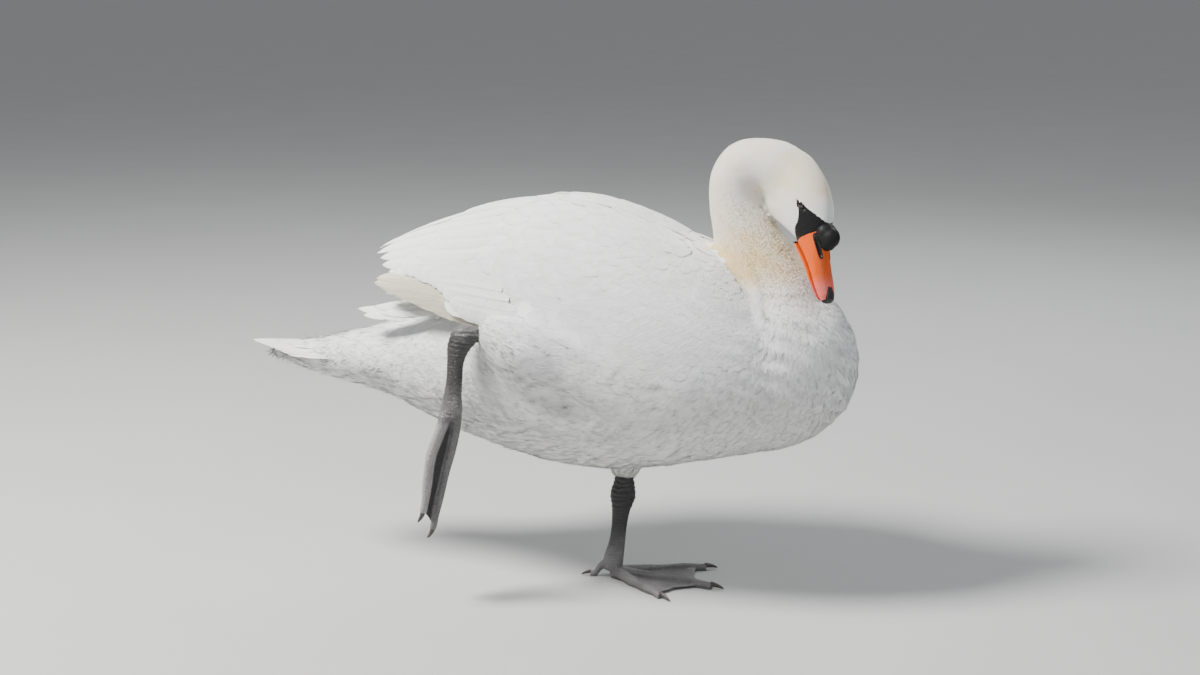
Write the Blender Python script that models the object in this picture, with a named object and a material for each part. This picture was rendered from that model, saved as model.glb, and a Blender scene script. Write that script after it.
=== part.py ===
"""Mute swan (Cygnus olor), life size, standing on its left leg with the right leg held back.

Frame: metres, +X forward (the way the breast faces), +Y the bird's left, +Z up, the floor at Z = 0.
The flesh and its coat are modelled whole, as lofts joined by a remesh, and then parted with thin cuts
into head, neck, trunk, tail, wings and thighs. Bill, eyes, shanks, feet, claws and quills are
pieces of their own.
"""

import math

import bmesh
import bpy
import numpy as np
from mathutils import Matrix, Vector

# ---------------------------------------------------------------- driving dimensions, metres
GAP = 0.00035  # parting gap between touching pieces
BODY_VOXEL = 0.0040  # remesh cell of the body's form
BODY_FACES = 1550  # faces kept for the whole body before it is parted
FOOT_VOXEL = 0.0013  # remesh cell of a leg and foot
FOOT_FACES = 420  # faces kept for one shank with its foot
SHIFT_X = 0.0728  # moves the middle of the bird's box to the origin
SHIFT_Y = 0.0087

BILL_TIP = Vector((0.2930, -0.0700, 0.3890))
HEAD_LONG = Vector((0.2953, -0.3480, -0.8894)).normalized()  # from nape to bill tip
HEAD_UP_HINT = Vector((0.7700, -0.4640, 0.4370))  # towards the crown
EYE_BACK = 0.1245  # eye centre, back from the bill tip
EYE_UP = 0.0120
EYE_OUT = 0.0215
EYE_RADIUS = 0.0080
KNOB_BACK = 0.0715
KNOB_UP = 0.0262

# back with folded wings: x, top, half width, height of the widest point, groove between the wings
MANTLE = (
    (-0.300, 0.424, 0.074, 0.364, 0.010),
    (-0.270, 0.445, 0.088, 0.362, 0.012),
    (-0.240, 0.459, 0.101, 0.357, 0.014),
    (-0.190, 0.477, 0.119, 0.347, 0.017),
    (-0.150, 0.490, 0.131, 0.337, 0.018),
    (-0.100, 0.501, 0.141, 0.325, 0.018),
    (-0.050, 0.506, 0.147, 0.322, 0.016),
    (0.000, 0.503, 0.150, 0.320, 0.014),
    (0.050, 0.488, 0.151, 0.318, 0.011),
    (0.100, 0.467, 0.148, 0.314, 0.008),
    (0.150, 0.442, 0.139, 0.308, 0.004),
    (0.200, 0.405, 0.123, 0.300, 0.000),
    (0.240, 0.372, 0.104, 0.296, 0.000),
)
# trunk with the mass of the wings: x, top, bottom, half width, height of the widest point, groove
TRUNK = (
    (-0.335, 0.312, 0.250, 0.032, 0.288, 0.000),
    (-0.300, 0.322, 0.243, 0.050, 0.288, 0.000),
    (-0.250, 0.343, 0.228, 0.074, 0.290, 0.000),
    (-0.200, 0.362, 0.205, 0.096, 0.292, 0.002),
    (-0.165, 0.384, 0.192, 0.113, 0.298, 0.006),
    (-0.135, 0.420, 0.183, 0.126, 0.306, 0.012),
    (-0.105, 0.474, 0.174, 0.136, 0.314, 0.017),
    (-0.075, 0.504, 0.167, 0.143, 0.319, 0.018),
    (-0.040, 0.508, 0.160, 0.148, 0.321, 0.016),
    (0.000, 0.504, 0.157, 0.150, 0.320, 0.014),
    (0.050, 0.489, 0.158, 0.151, 0.318, 0.011),
    (0.100, 0.467, 0.165, 0.148, 0.314, 0.008),
    (0.150, 0.440, 0.176, 0.139, 0.308, 0.004),
    (0.200, 0.402, 0.186, 0.123, 0.300, 0.000),
    (0.240, 0.368, 0.198, 0.103, 0.296, 0.000),
    (0.270, 0.345, 0.214, 0.080, 0.294, 0.000),
)
BREAST = (0.2000, 0.0, 0.3000, 0.1265, 0.1130, 0.1130)  # middle x, y, z; half length, width, height
# the trunk's own form under the wings: x, top, bottom, half width, height of the widest point, 0
CORE = (
    (-0.320, 0.330, 0.200, 0.070, 0.288, 0.0),
    (-0.200, 0.362, 0.180, 0.096, 0.290, 0.0),
    (-0.150, 0.385, 0.170, 0.106, 0.295, 0.0),
    (-0.100, 0.412, 0.160, 0.116, 0.300, 0.0),
    (0.000, 0.444, 0.150, 0.126, 0.305, 0.0),
    (0.090, 0.446, 0.150, 0.128, 0.305, 0.0),
    (0.170, 0.420, 0.150, 0.120, 0.300, 0.0),
    (0.240, 0.372, 0.150, 0.100, 0.295, 0.0),
)
# side outline of a folded wing, x and z, round the shoulder and back along its lower edge
WING_SIDE = (
    (0.060, 0.560), (0.120, 0.478), (0.146, 0.457), (0.160, 0.458), (0.176, 0.446), (0.191, 0.432), (0.202, 0.417), (0.211, 0.398),
    (0.217, 0.378), (0.219, 0.361), (0.213, 0.344), (0.192, 0.331), (0.147, 0.323), (0.099, 0.325),
    (0.045, 0.333), (0.000, 0.348), (-0.050, 0.364), (-0.098, 0.371), (-0.150, 0.379), (-0.172, 0.383),
    (-0.172, 0.560),
)
# inner outline of a folded wing seen from above, x and distance from the middle plane
WING_TOP = ((0.230, 0.075), (0.190, 0.046), (0.150, 0.024), (0.110, 0.010), (0.060, 0.004), (0.000, 0.0022), (-0.340, 0.0022))
# neck: x, y, z, half width, half depth
NECK = (
    (0.195, 0.000, 0.255, 0.090, 0.100),
    (0.214, 0.000, 0.318, 0.080, 0.098),
    (0.213, 0.000, 0.375, 0.062, 0.072),
    (0.197, 0.000, 0.425, 0.047, 0.050),
    (0.181, 0.000, 0.465, 0.0375, 0.0385),
    (0.1715, 0.000, 0.500, 0.0325, 0.0335),
    (0.1715, -0.001, 0.526, 0.0315, 0.0325),
    (0.182, -0.003, 0.5430, 0.0310, 0.0315),
    (0.203, -0.006, 0.5460, 0.0310, 0.0315),
    (0.2245, -0.009, 0.5400, 0.0312, 0.0340),
    (0.2390, -0.013, 0.5250, 0.0302, 0.0340),
    (0.2450, -0.018, 0.5050, 0.0270, 0.0290),
)
# head: distance back from the bill tip, crown height, throat depth, half width
HEAD = (
    (0.0790, 0.0130, 0.0120, 0.0130),
    (0.0840, 0.0200, 0.0160, 0.0165),
    (0.0920, 0.0280, 0.0210, 0.0205),
    (0.1020, 0.0335, 0.0280, 0.0240),
    (0.1120, 0.0368, 0.0355, 0.0268),
    (0.1240, 0.0384, 0.0440, 0.0290),
    (0.1360, 0.0388, 0.0510, 0.0303),
    (0.1500, 0.0380, 0.0540, 0.0308),
    (0.1640, 0.0358, 0.0490, 0.0298),
    (0.1780, 0.0300, 0.0380, 0.0260),
    (0.1860, 0.0200, 0.0260, 0.0190),
)
# upper bill: back from the tip, culmen height, depth below the axis, half width
BILL = (
    (0.0000, 0.0010, 0.0030, 0.0030),
    (0.0020, 0.0035, 0.0050, 0.0070),
    (0.0070, 0.0058, 0.0058, 0.0108),
    (0.0150, 0.0073, 0.0058, 0.0135),
    (0.0270, 0.0085, 0.0058, 0.0154),
    (0.0400, 0.0103, 0.0060, 0.0160),
    (0.0530, 0.0136, 0.0073, 0.0161),
    (0.0660, 0.0185, 0.0102, 0.0161),
    (0.0770, 0.0228, 0.0134, 0.0163),
    (0.0880, 0.0245, 0.0160, 0.0162),
    (0.0960, 0.0200, 0.0150, 0.0130),
)
# lower bill: back from the tip, top under the axis, bottom under the axis, half width
JAW = (
    (0.0045, -0.0064, -0.0078, 0.0045),
    (0.0080, -0.0067, -0.0092, 0.0085),
    (0.0160, -0.0067, -0.0107, 0.0117),
    (0.0300, -0.0067, -0.0123, 0.0134),
    (0.0450, -0.0074, -0.0137, 0.0136),
    (0.0600, -0.0098, -0.0161, 0.0134),
    (0.0740, -0.0139, -0.0196, 0.0130),
    (0.0860, -0.0176, -0.0228, 0.0120),
)
# right thigh, held back, and left thigh, standing: x, y, z, half width, half depth
THIGH_R = (
    (0.010, -0.085, 0.290, 0.050, 0.072),
    (-0.035, -0.108, 0.315, 0.042, 0.060),
    (-0.070, -0.126, 0.335, 0.032, 0.044),
    (-0.098, -0.139, 0.347, 0.0215, 0.027),
    (-0.118, -0.147, 0.353, 0.0145, 0.0165),
)
THIGH_L = (
    (0.040, 0.050, 0.235, 0.052, 0.070),
    (0.034, 0.042, 0.195, 0.042, 0.056),
    (0.030, 0.030, 0.165, 0.030, 0.036),
    (0.029, 0.022, 0.146, 0.0185, 0.0210),
    (0.0285, 0.019, 0.132, 0.0130, 0.0140),
)
# tail coverts: x, top, bottom, half width, height of the widest point, 0
TAIL = (
    (-0.438, 0.2900, 0.2800, 0.012, 0.286, 0.0),
    (-0.420, 0.2940, 0.2720, 0.022, 0.286, 0.0),
    (-0.390, 0.2990, 0.2630, 0.034, 0.286, 0.0),
    (-0.350, 0.3100, 0.2535, 0.047, 0.287, 0.0),
    (-0.310, 0.3200, 0.2460, 0.059, 0.288, 0.0),
    (-0.240, 0.3450, 0.2320, 0.076, 0.290, 0.0),
)
TERTIAL_ROOT = -0.080  # front end of the tertial layer
TERTIAL_LOW = (15.0, 24.0)  # its lower edge, degrees round the mantle, at the root and at the tips
TERTIAL_THICK = (0.0100, 0.0022)
# the folded primaries: x, distance out, z, half thickness, half height
PRIMARIES = (
    (-0.110, 0.096, 0.384, 0.0040, 0.0140),
    (-0.150, 0.090, 0.374, 0.0040, 0.0165),
    (-0.200, 0.080, 0.366, 0.0032, 0.0165),
    (-0.245, 0.070, 0.3600, 0.0024, 0.0150),
    (-0.280, 0.061, 0.3565, 0.0016, 0.0105),
    (-0.304, 0.054, 0.3560, 0.0010, 0.0035),
)
TAIL_FAN_ROOT = -0.300
TAIL_FAN_TIP = -0.471
TAIL_FAN_HEIGHT = 0.2945
TAIL_FEATHERS = 11

# shanks: x, y, z, half width, half depth, from the feathered thigh down to the toes' root
SHANK_R = (
    (-0.108, -0.1420, 0.349, 0.0095, 0.0110),
    (-0.121, -0.1475, 0.355, 0.0105, 0.0125),
    (-0.134, -0.1500, 0.352, 0.0110, 0.0150),
    (-0.142, -0.1510, 0.337, 0.0100, 0.0135),
    (-0.1455, -0.1510, 0.318, 0.0078, 0.0108),
    (-0.1475, -0.1510, 0.295, 0.0070, 0.0100),
    (-0.1500, -0.1510, 0.273, 0.0080, 0.0112),
    (-0.1520, -0.1510, 0.256, 0.0105, 0.0135),
    (-0.1540, -0.1510, 0.243, 0.0095, 0.0120),
)
SHANK_L = (
    (0.0287, 0.0180, 0.142, 0.0085, 0.0095),
    (0.0285, 0.0165, 0.124, 0.0105, 0.0140),
    (0.0272, 0.0150, 0.108, 0.0115, 0.0165),
    (0.0255, 0.0130, 0.092, 0.0088, 0.0125),
    (0.0234, 0.0114, 0.070, 0.0072, 0.0102),
    (0.0206, 0.0096, 0.045, 0.0074, 0.0108),
    (0.0166, 0.0080, 0.024, 0.0098, 0.0130),
    (0.0151, 0.0072, 0.0090, 0.0110, 0.0130),
)
# toes of the raised right foot: three joints and the tip's radius
TOES_R = (
    ("inner", ((-0.152, -0.141, 0.250), (-0.163, -0.135, 0.215), (-0.175, -0.133, 0.175), (-0.184, -0.134, 0.146)), 0.0068, 0.0048),
    ("middle", ((-0.146, -0.150, 0.250), (-0.1490, -0.1475, 0.226), (-0.161, -0.1430, 0.183), (-0.1700, -0.1400, 0.150), (-0.1795, -0.1370, 0.113), (-0.1835, -0.1355, 0.098)), 0.0075, 0.0048),
    ("outer", ((-0.157, -0.159, 0.250), (-0.1680, -0.1610, 0.222), (-0.1770, -0.1620, 0.196), (-0.1820, -0.1620, 0.164), (-0.1860, -0.1610, 0.134), (-0.1880, -0.1600, 0.126)), 0.0075, 0.0050),
    ("hind", ((-0.158, -0.147, 0.256), (-0.1650, -0.1450, 0.2480), (-0.1685, -0.1440, 0.2380)), 0.0055, 0.0042),
)
# toes of the standing left foot
FOOT_L = Vector((0.0151, 0.0072, 0.0085))
TOES_L = (
    ("inner", -42.0, 0.104, 0.0078, 0.0055),
    ("middle", -9.0, 0.136, 0.0084, 0.0058),
    ("outer", 23.0, 0.126, 0.0080, 0.0055),
)
HIND_TOE_L = ((-0.0070, -0.0016, 0.0118), (-0.0170, -0.0030, 0.0022), (-0.0220, -0.0038, -0.0046), (-0.0285, -0.0048, -0.0062))
KNOB_RADII = (0.0115, 0.0105, 0.0125)
BILL_BASE = 0.0865  # where the bill meets the feathered face, back from the tip
NAIL_BACK = 0.0125
# thin cuts, lines in the XZ plane with a reach to each side
PARTINGS = (
    (((0.133, 0.4505), (0.228, 0.405), (0.324, 0.359)), 0.13),
    (((0.128, 0.447), (0.187, 0.447), (0.243, 0.447)), 0.08),
    (((0.228, 0.592), (0.214, 0.560), (0.203, 0.530), (0.2035, 0.503), (0.2125, 0.480), (0.2225, 0.4680), (0.2340, 0.4560)), 0.06),
    (((-0.285, 0.200), (-0.285, 0.290), (-0.285, 0.350)), 0.10),
)
CLAW_LENGTH = 0.017
CLAW_RADIUS = 0.0036

COLOURS = {
    "feather": (0.86, 0.86, 0.82),
    "orange": (0.90, 0.24, 0.05),
    "black": (0.012, 0.011, 0.012),
    "leg": (0.040, 0.040, 0.042),
    "claw": (0.020, 0.018, 0.018),
    "eye": (0.020, 0.012, 0.008),
}


# ---------------------------------------------------------------- shape tools
def smooth_rows(rows, count, axis_only=False):
    """Rows of numbers along a smooth curve, spaced evenly by chord length."""
    p = np.array(rows, float)
    lead = p[:, :1] if axis_only else p[:, :3]
    chord = np.sqrt((np.diff(lead, axis=0) ** 2).sum(1))
    t = np.concatenate([[0.0], np.cumsum(np.maximum(chord, 1e-9))])
    slope = np.gradient(p, t, axis=0)
    at = np.linspace(0.0, t[-1], count)
    i = np.clip(np.searchsorted(t, at, "right") - 1, 0, len(t) - 2)
    h = (t[i + 1] - t[i])[:, None]
    s = ((at - t[i])[:, None]) / h
    return (
        (2 * s**3 - 3 * s**2 + 1) * p[i]
        + (s**3 - 2 * s**2 + s) * h * slope[i]
        + (-2 * s**3 + 3 * s**2) * p[i + 1]
        + (s**3 - s**2) * h * slope[i + 1]
    )


def table_at(rows, x):
    """The values of an x-led table at one x."""
    fine = smooth_rows(rows, 300, True)
    return [float(np.interp(x, fine[:, 0], fine[:, k])) for k in range(1, fine.shape[1])]


def mesh_object(name, points, faces):
    mesh = bpy.data.meshes.new(name)
    mesh.from_pydata([tuple(map(float, p)) for p in points], [], faces)
    mesh.validate()
    bm = bmesh.new()
    bm.from_mesh(mesh)
    bmesh.ops.recalc_face_normals(bm, faces=bm.faces)
    if bm.calc_volume(signed=True) < 0:
        bmesh.ops.reverse_faces(bm, faces=bm.faces)
    bm.to_mesh(mesh)
    bm.free()
    obj = bpy.data.objects.new(name, mesh)
    bpy.context.scene.collection.objects.link(obj)
    return obj


def loft(name, rings):
    """A closed body through rings of equal count, each end closed by a fan to its middle."""
    rings = np.array(rings, float)
    m, n = rings.shape[:2]
    points = list(rings.reshape(-1, 3)) + [rings[0].mean(0), rings[-1].mean(0)]
    faces = []
    for a in range(m - 1):
        for k in range(n):
            k2 = (k + 1) % n
            faces.append((a * n + k, a * n + k2, (a + 1) * n + k2, (a + 1) * n + k))
    for k in range(n):
        k2 = (k + 1) % n
        faces.append((m * n, k2, k))
        faces.append((m * n + 1, (m - 1) * n + k, (m - 1) * n + k2))
    return mesh_object(name, points, faces)


def plate(name, rings):
    """A closed thin body: each ring runs out along its upper face and back along its lower one."""
    rings = np.array(rings, float)
    m, n = rings.shape[:2]
    half = n // 2
    faces = []
    for a in range(m - 1):
        for k in range(n):
            k2 = (k + 1) % n
            faces.append((a * n + k, a * n + k2, (a + 1) * n + k2, (a + 1) * n + k))
    for k in range(half - 1):
        faces.append((k, n - 1 - k, n - 2 - k, k + 1))
        end = (m - 1) * n
        faces.append((end + k, end + k + 1, end + n - 2 - k, end + n - 1 - k))
    return mesh_object(name, rings.reshape(-1, 3), faces)


def power(c, e):
    return math.copysign(abs(c) ** (2.0 / e), c)


def section(middle, side, up, half_width, top, bottom, n, e_top=2.0, e_bottom=2.0):
    """A ring round a middle point: half_width to each side, top and bottom above and below."""
    ring = []
    for k in range(n):
        a = 2 * math.pi * k / n
        e = e_top if math.sin(a) > 0 else e_bottom
        h = top if math.sin(a) > 0 else bottom
        ring.append(middle + side * (half_width * power(math.cos(a), e)) + up * (h * power(math.sin(a), e)))
    return ring


def upright_loft(name, rows, count, n=40, e_top=2.0, e_bottom=2.0, grow=0.0):
    """Sections across X: rows of x, top, bottom, half width, height of the widest point, groove."""
    fine = smooth_rows(rows, count, True)
    rings = []
    for x, top, bottom, half, mid, groove in fine:
        ring = section(
            Vector((x, 0, mid)), Vector((0, 1, 0)), Vector((0, 0, 1)), half + grow, top - mid + grow, mid - bottom + grow, n, e_top, e_bottom
        )
        for p in ring:
            if p.z > mid:
                p.z -= groove * math.exp(-((p.y / 0.030) ** 2))
        rings.append(ring)
    return loft(name, rings)


def tube_loft(name, rows, count, n=28, side=Vector((0, 1, 0)), grow=0.0):
    """A tube along a bent line: rows of x, y, z, half width, half depth."""
    fine = smooth_rows(rows, count)
    tangent = np.gradient(fine[:, :3], axis=0)
    rings = []
    for p, t in zip(fine, tangent):
        t = Vector(t).normalized()
        s = (side - t * side.dot(t)).normalized()
        up = t.cross(s).normalized()
        rings.append(section(Vector(p[:3]), s, up, p[3] + grow, p[4] + grow, p[4] + grow, n))
    return loft(name, rings)


def ball(name, middle, radii, n=24, m=16):
    rings = []
    for a in range(1, m):
        lat = math.pi * a / m
        rings.append(
            [
                Vector(middle)
                + Vector((-math.cos(lat) * radii[0], math.sin(lat) * math.cos(2 * math.pi * k / n) * radii[1], math.sin(lat) * math.sin(2 * math.pi * k / n) * radii[2]))
                for k in range(n)
            ]
        )
    return loft(name, rings)


def head_axes():
    long = HEAD_LONG.normalized()
    up = (HEAD_UP_HINT - long * HEAD_UP_HINT.dot(long)).normalized()
    right = long.cross(up).normalized()  # the bird's right side of the head
    return long, up, right


def at_head(back, up_by, right_by):
    """A point by its distance back from the bill tip, towards the crown and to the bird's right."""
    long, up, right = head_axes()
    return BILL_TIP - long * back + up * up_by + right * right_by


def head_loft(name, rows, count, n=32, e_top=2.0, e_bottom=1.8, grow=0.0):
    """Sections across the head's long axis: rows of distance back, top, bottom, half width."""
    long, up, right = head_axes()
    fine = smooth_rows(rows, count, True)
    rings = [
        section(BILL_TIP - long * r[0], right, up, r[3] + grow, r[1] + grow, r[2] + grow, n, e_top, e_bottom)
        for r in fine
    ]
    return loft(name, rings)


def copy_of(obj, name):
    new = bpy.data.objects.new(name, obj.data.copy())
    bpy.context.scene.collection.objects.link(new)
    return new


def joined(name, parts):
    bm = bmesh.new()
    for obj in parts:
        bm.from_mesh(obj.data)
        bpy.data.objects.remove(obj)
    mesh = bpy.data.meshes.new(name)
    bm.to_mesh(mesh)
    bm.free()
    obj = bpy.data.objects.new(name, mesh)
    bpy.context.scene.collection.objects.link(obj)
    return obj


def evaluated(obj):
    """Applies the object's modifiers."""
    bpy.context.view_layer.update()
    graph = bpy.context.evaluated_depsgraph_get()
    mesh = bpy.data.meshes.new_from_object(obj.evaluated_get(graph))
    old = obj.data
    obj.modifiers.clear()
    obj.data = mesh
    bpy.data.meshes.remove(old)
    return obj


def cut(obj, cutter, how="DIFFERENCE", keep=False):
    m = obj.modifiers.new("cut", "BOOLEAN")
    m.operation = how
    m.solver = "EXACT"
    m.object = cutter
    cutter.hide_render = True
    cutter.display_type = "WIRE"
    evaluated(obj)
    if not keep:
        bpy.data.objects.remove(cutter)
    tidy(obj)
    return obj


def tidy(obj):
    bm = bmesh.new()
    bm.from_mesh(obj.data)
    bmesh.ops.remove_doubles(bm, verts=bm.verts, dist=0.000005)
    bmesh.ops.dissolve_degenerate(bm, edges=bm.edges, dist=0.000005)
    bmesh.ops.triangulate(bm, faces=bm.faces)
    bm.to_mesh(obj.data)
    bm.free()


def fewer_flats(obj):
    """Joins facets that lie in one plane, without moving any surface."""
    bm = bmesh.new()
    bm.from_mesh(obj.data)
    bmesh.ops.dissolve_limit(bm, angle_limit=math.radians(0.6), verts=bm.verts, edges=bm.edges)
    bmesh.ops.triangulate(bm, faces=bm.faces)
    bm.to_mesh(obj.data)
    bm.free()


def biggest(obj):
    """Keeps only the largest loose body."""
    bm = bmesh.new()
    bm.from_mesh(obj.data)
    groups = islands(bm)
    groups.sort(key=lambda g: -sum(f.calc_area() for f in g))
    loose = [f for g in groups[1:] for f in g]
    if loose:
        bmesh.ops.delete(bm, geom=loose, context="FACES")
    bm.to_mesh(obj.data)
    bm.free()
    return obj


def islands(bm):
    seen, groups = set(), []
    bm.faces.ensure_lookup_table()
    for f in bm.faces:
        if f.index in seen:
            continue
        stack, group = [f], []
        seen.add(f.index)
        while stack:
            g = stack.pop()
            group.append(g)
            for e in g.edges:
                for h in e.link_faces:
                    if h.index not in seen:
                        seen.add(h.index)
                        stack.append(h)
        groups.append(group)
    return groups


def split_loose(obj, namer):
    """Parts an object into its loose bodies; namer gives each a name by its middle, or None for crumbs."""
    bm = bmesh.new()
    bm.from_mesh(obj.data)
    groups = islands(bm)
    made = []
    for group in groups:
        verts = {}
        for f in group:
            for v in f.verts:
                if v.index not in verts:
                    verts[v.index] = len(verts)
        bm.verts.ensure_lookup_table()
        pts = [bm.verts[i].co.copy() for i in verts]
        faces = [tuple(verts[v.index] for v in f.verts) for f in group]
        lo = Vector([min(p[k] for p in pts) for k in range(3)])
        hi = Vector([max(p[k] for p in pts) for k in range(3)])
        if (hi - lo).length < 0.012:
            continue
        mesh = bpy.data.meshes.new("part")
        mesh.from_pydata(pts, [], faces)
        name = namer(sum(pts, Vector()) / len(pts), hi - lo)
        new = bpy.data.objects.new(name, mesh)
        bpy.context.scene.collection.objects.link(new)
        made.append(new)
    bm.free()
    bpy.data.objects.remove(obj)
    return {o.name: o for o in made}


def band(name, line, width, thick=GAP):
    """A thin bent sheet: a line in the XZ plane carried to both sides."""
    p = np.array(line, float)
    t = np.gradient(p, axis=0)
    n = np.column_stack([t[:, 1], -t[:, 0]]) / np.linalg.norm(t, axis=1)[:, None]
    outline = list(p + n * thick / 2) + list((p - n * thick / 2)[::-1])
    return prism(name, outline, "Y", -width, width)


def slab_block(name, middle, a, b, c, ra, rb, rc):
    """A block about a middle with half sizes along three directions."""
    points = [Vector(middle) + a * (i * ra) + b * (j * rb) + c * (k * rc) for i in (-1, 1) for j in (-1, 1) for k in (-1, 1)]
    faces = [(0, 1, 3, 2), (4, 6, 7, 5), (0, 4, 5, 1), (2, 3, 7, 6), (0, 2, 6, 4), (1, 5, 7, 3)]
    return mesh_object(name, points, faces)


def prism(name, outline, axis, lo, hi, grow=0.0):
    """An outline in the plane across an axis, carried from lo to hi along it, grown outwards."""
    pts = np.array(outline, float)
    area = 0.5 * np.sum(pts[:, 0] * np.roll(pts[:, 1], -1) - np.roll(pts[:, 0], -1) * pts[:, 1])
    turn = 1.0 if area > 0 else -1.0
    before = pts - np.roll(pts, 1, axis=0)
    after = np.roll(pts, -1, axis=0) - pts
    n1 = np.column_stack([before[:, 1], -before[:, 0]]) * turn
    n2 = np.column_stack([after[:, 1], -after[:, 0]]) * turn
    n1 /= np.linalg.norm(n1, axis=1)[:, None]
    n2 /= np.linalg.norm(n2, axis=1)[:, None]
    mid = n1 + n2
    mid /= (mid * n1).sum(1)[:, None]
    pts = pts + mid * grow
    n = len(pts)
    points = []
    for level in (lo - grow, hi + grow):
        for a, b in pts:
            points.append((a, level, b) if axis == "Y" else (a, b, level))
    faces = [tuple(range(n)), tuple(range(2 * n - 1, n - 1, -1))]
    for k in range(n):
        k2 = (k + 1) % n
        faces.append((k, k + n, k2 + n, k2))
    return mesh_object(name, points, faces)


def keep_side(obj, middle, normal):
    """Cuts an object with a plane, keeps the side the normal points to and closes the cut."""
    bm = bmesh.new()
    bm.from_mesh(obj.data)
    result = bmesh.ops.bisect_plane(
        bm, geom=bm.verts[:] + bm.edges[:] + bm.faces[:], plane_co=Vector(middle), plane_no=Vector(normal).normalized(), clear_inner=True
    )
    edges = [g for g in result["geom_cut"] if isinstance(g, bmesh.types.BMEdge)]
    bmesh.ops.triangle_fill(bm, edges=edges, use_beauty=True)
    bmesh.ops.recalc_face_normals(bm, faces=bm.faces)
    bmesh.ops.triangulate(bm, faces=bm.faces)
    bm.to_mesh(obj.data)
    bm.free()
    return obj


def fewer(obj, faces):
    bm = bmesh.new()
    bm.from_mesh(obj.data)
    bmesh.ops.triangulate(bm, faces=bm.faces)
    now = len(bm.faces)
    bm.to_mesh(obj.data)
    bm.free()
    if now > faces:
        m = obj.modifiers.new("facets", "DECIMATE")
        m.ratio = faces / now
        m.use_collapse_triangulate = True
        evaluated(obj)
    return obj


def fused(obj, voxel, rounds, faces):
    """One closed skin round overlapping lofts, evened out and thinned to a face count."""
    m = obj.modifiers.new("form", "REMESH")
    m.mode = "VOXEL"
    m.voxel_size = voxel
    m.adaptivity = 0.0
    if rounds:
        m = obj.modifiers.new("even", "SMOOTH")
        m.factor = 0.5
        m.iterations = rounds
    evaluated(obj)
    biggest(obj)
    return fewer(obj, faces)


# ---------------------------------------------------------------- the bird
def body_form():
    trunk = upright_loft("f_trunk", TRUNK, 56, 56, 2.15, 2.1)
    breast = ball("f_breast", BREAST[:3], BREAST[3:], 40, 28)
    neck = tube_loft("f_neck", NECK, 44, 36)
    head = head_loft("f_head", HEAD, 26, 32)
    thigh_r = tube_loft("f_thigh_r", THIGH_R, 16, 28)
    thigh_l = tube_loft("f_thigh_l", THIGH_L, 14, 28)
    tail = upright_loft("f_tail", TAIL, 20, 32, 2.0, 2.0)
    body = joined("body", [trunk, breast, neck, head, thigh_r, thigh_l, tail])
    return fused(body, BODY_VOXEL, 7, BODY_FACES)


def wing_cutter(name, side, grow):
    """The space of one folded wing, outside the trunk's own form; side is +1 left, -1 right."""
    side_view = prism(name, WING_SIDE, "Y", 0.0 if side > 0 else -0.26, 0.26 if side > 0 else 0.0, grow)
    outline = [(x, y * side) for x, y in WING_TOP] + [(-0.34, 0.25 * side), (0.23, 0.25 * side)]
    top_view = prism(name + "_t", outline, "Z", 0.1, 0.6, grow)
    cut(side_view, top_view, "INTERSECT")
    core = upright_loft(name + "_c", CORE, 10, 20, 2.15, 2.1, -grow)
    cut(side_view, core)
    return side_view


def mantle_point(x, angle, inset, side):
    """On the back's outer surface with folded wings, or inset under it; angle 0 is the flank, 90 the top."""
    top, half, mid, groove = table_at_cached(x)
    e = 2.15
    a = math.radians(angle)
    y = (half - inset) * power(math.cos(a), e)
    z = mid + (top - mid - inset) * power(math.sin(a), e)
    z -= groove * math.exp(-((y / 0.030) ** 2))
    return Vector((x, y * side, z))


_mantle = smooth_rows(MANTLE, 400, True)


def table_at_cached(x):
    return [float(np.interp(x, _mantle[:, 0], _mantle[:, k])) for k in range(1, 5)]


def shell(name, side, thick_root, thick_tip, along=6, across=12, grow=0.0):
    """A layer of folded quills: an arched plate at the mantle's surface with toothed tips."""
    rings = []
    for i in range(along + 1):
        u = i / along
        ring = []
        for face in (0, 1):
            steps = range(across + 1) if face == 0 else range(across, -1, -1)
            for k in steps:
                v = k / across
                low, high = TERTIAL_LOW[0] + (TERTIAL_LOW[1] - TERTIAL_LOW[0]) * u, 86.5
                angle = low + (high - low) * v + grow * (v - 0.5) * 900.0
                x = TERTIAL_ROOT + grow + (tertial_tips(v) - grow - TERTIAL_ROOT) * u
                thick = thick_root + (thick_tip - thick_root) * u
                ring.append(mantle_point(x, angle, thick + grow if face else -grow, side))
        rings.append(ring)
    return plate(name, rings)


def tertial_tips(v):
    """Rear ends of the layer across its width: v 0 at the lower edge, 1 at the middle of the back."""
    tips = ((0.0, -0.273), (0.2, -0.266), (0.4, -0.261), (0.6, -0.266), (0.8, -0.277), (1.0, -0.262))
    tooth = abs(((v * 6.0) % 1.0) - 0.5) * 2.0
    return float(np.interp(v, [t[0] for t in tips], [t[1] for t in tips])) + 0.010 * (tooth - 0.3)


def primaries(name, side, grow=0.0):
    """The bundle of folded primaries, a thin upright blade over the rump."""
    rows = [(x, y * side, z, t, h) for x, y, z, t, h in PRIMARIES]
    return tube_loft(name, rows, 9, 8, Vector((0.15, 0.80 * side, 0.60)), grow)


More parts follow.
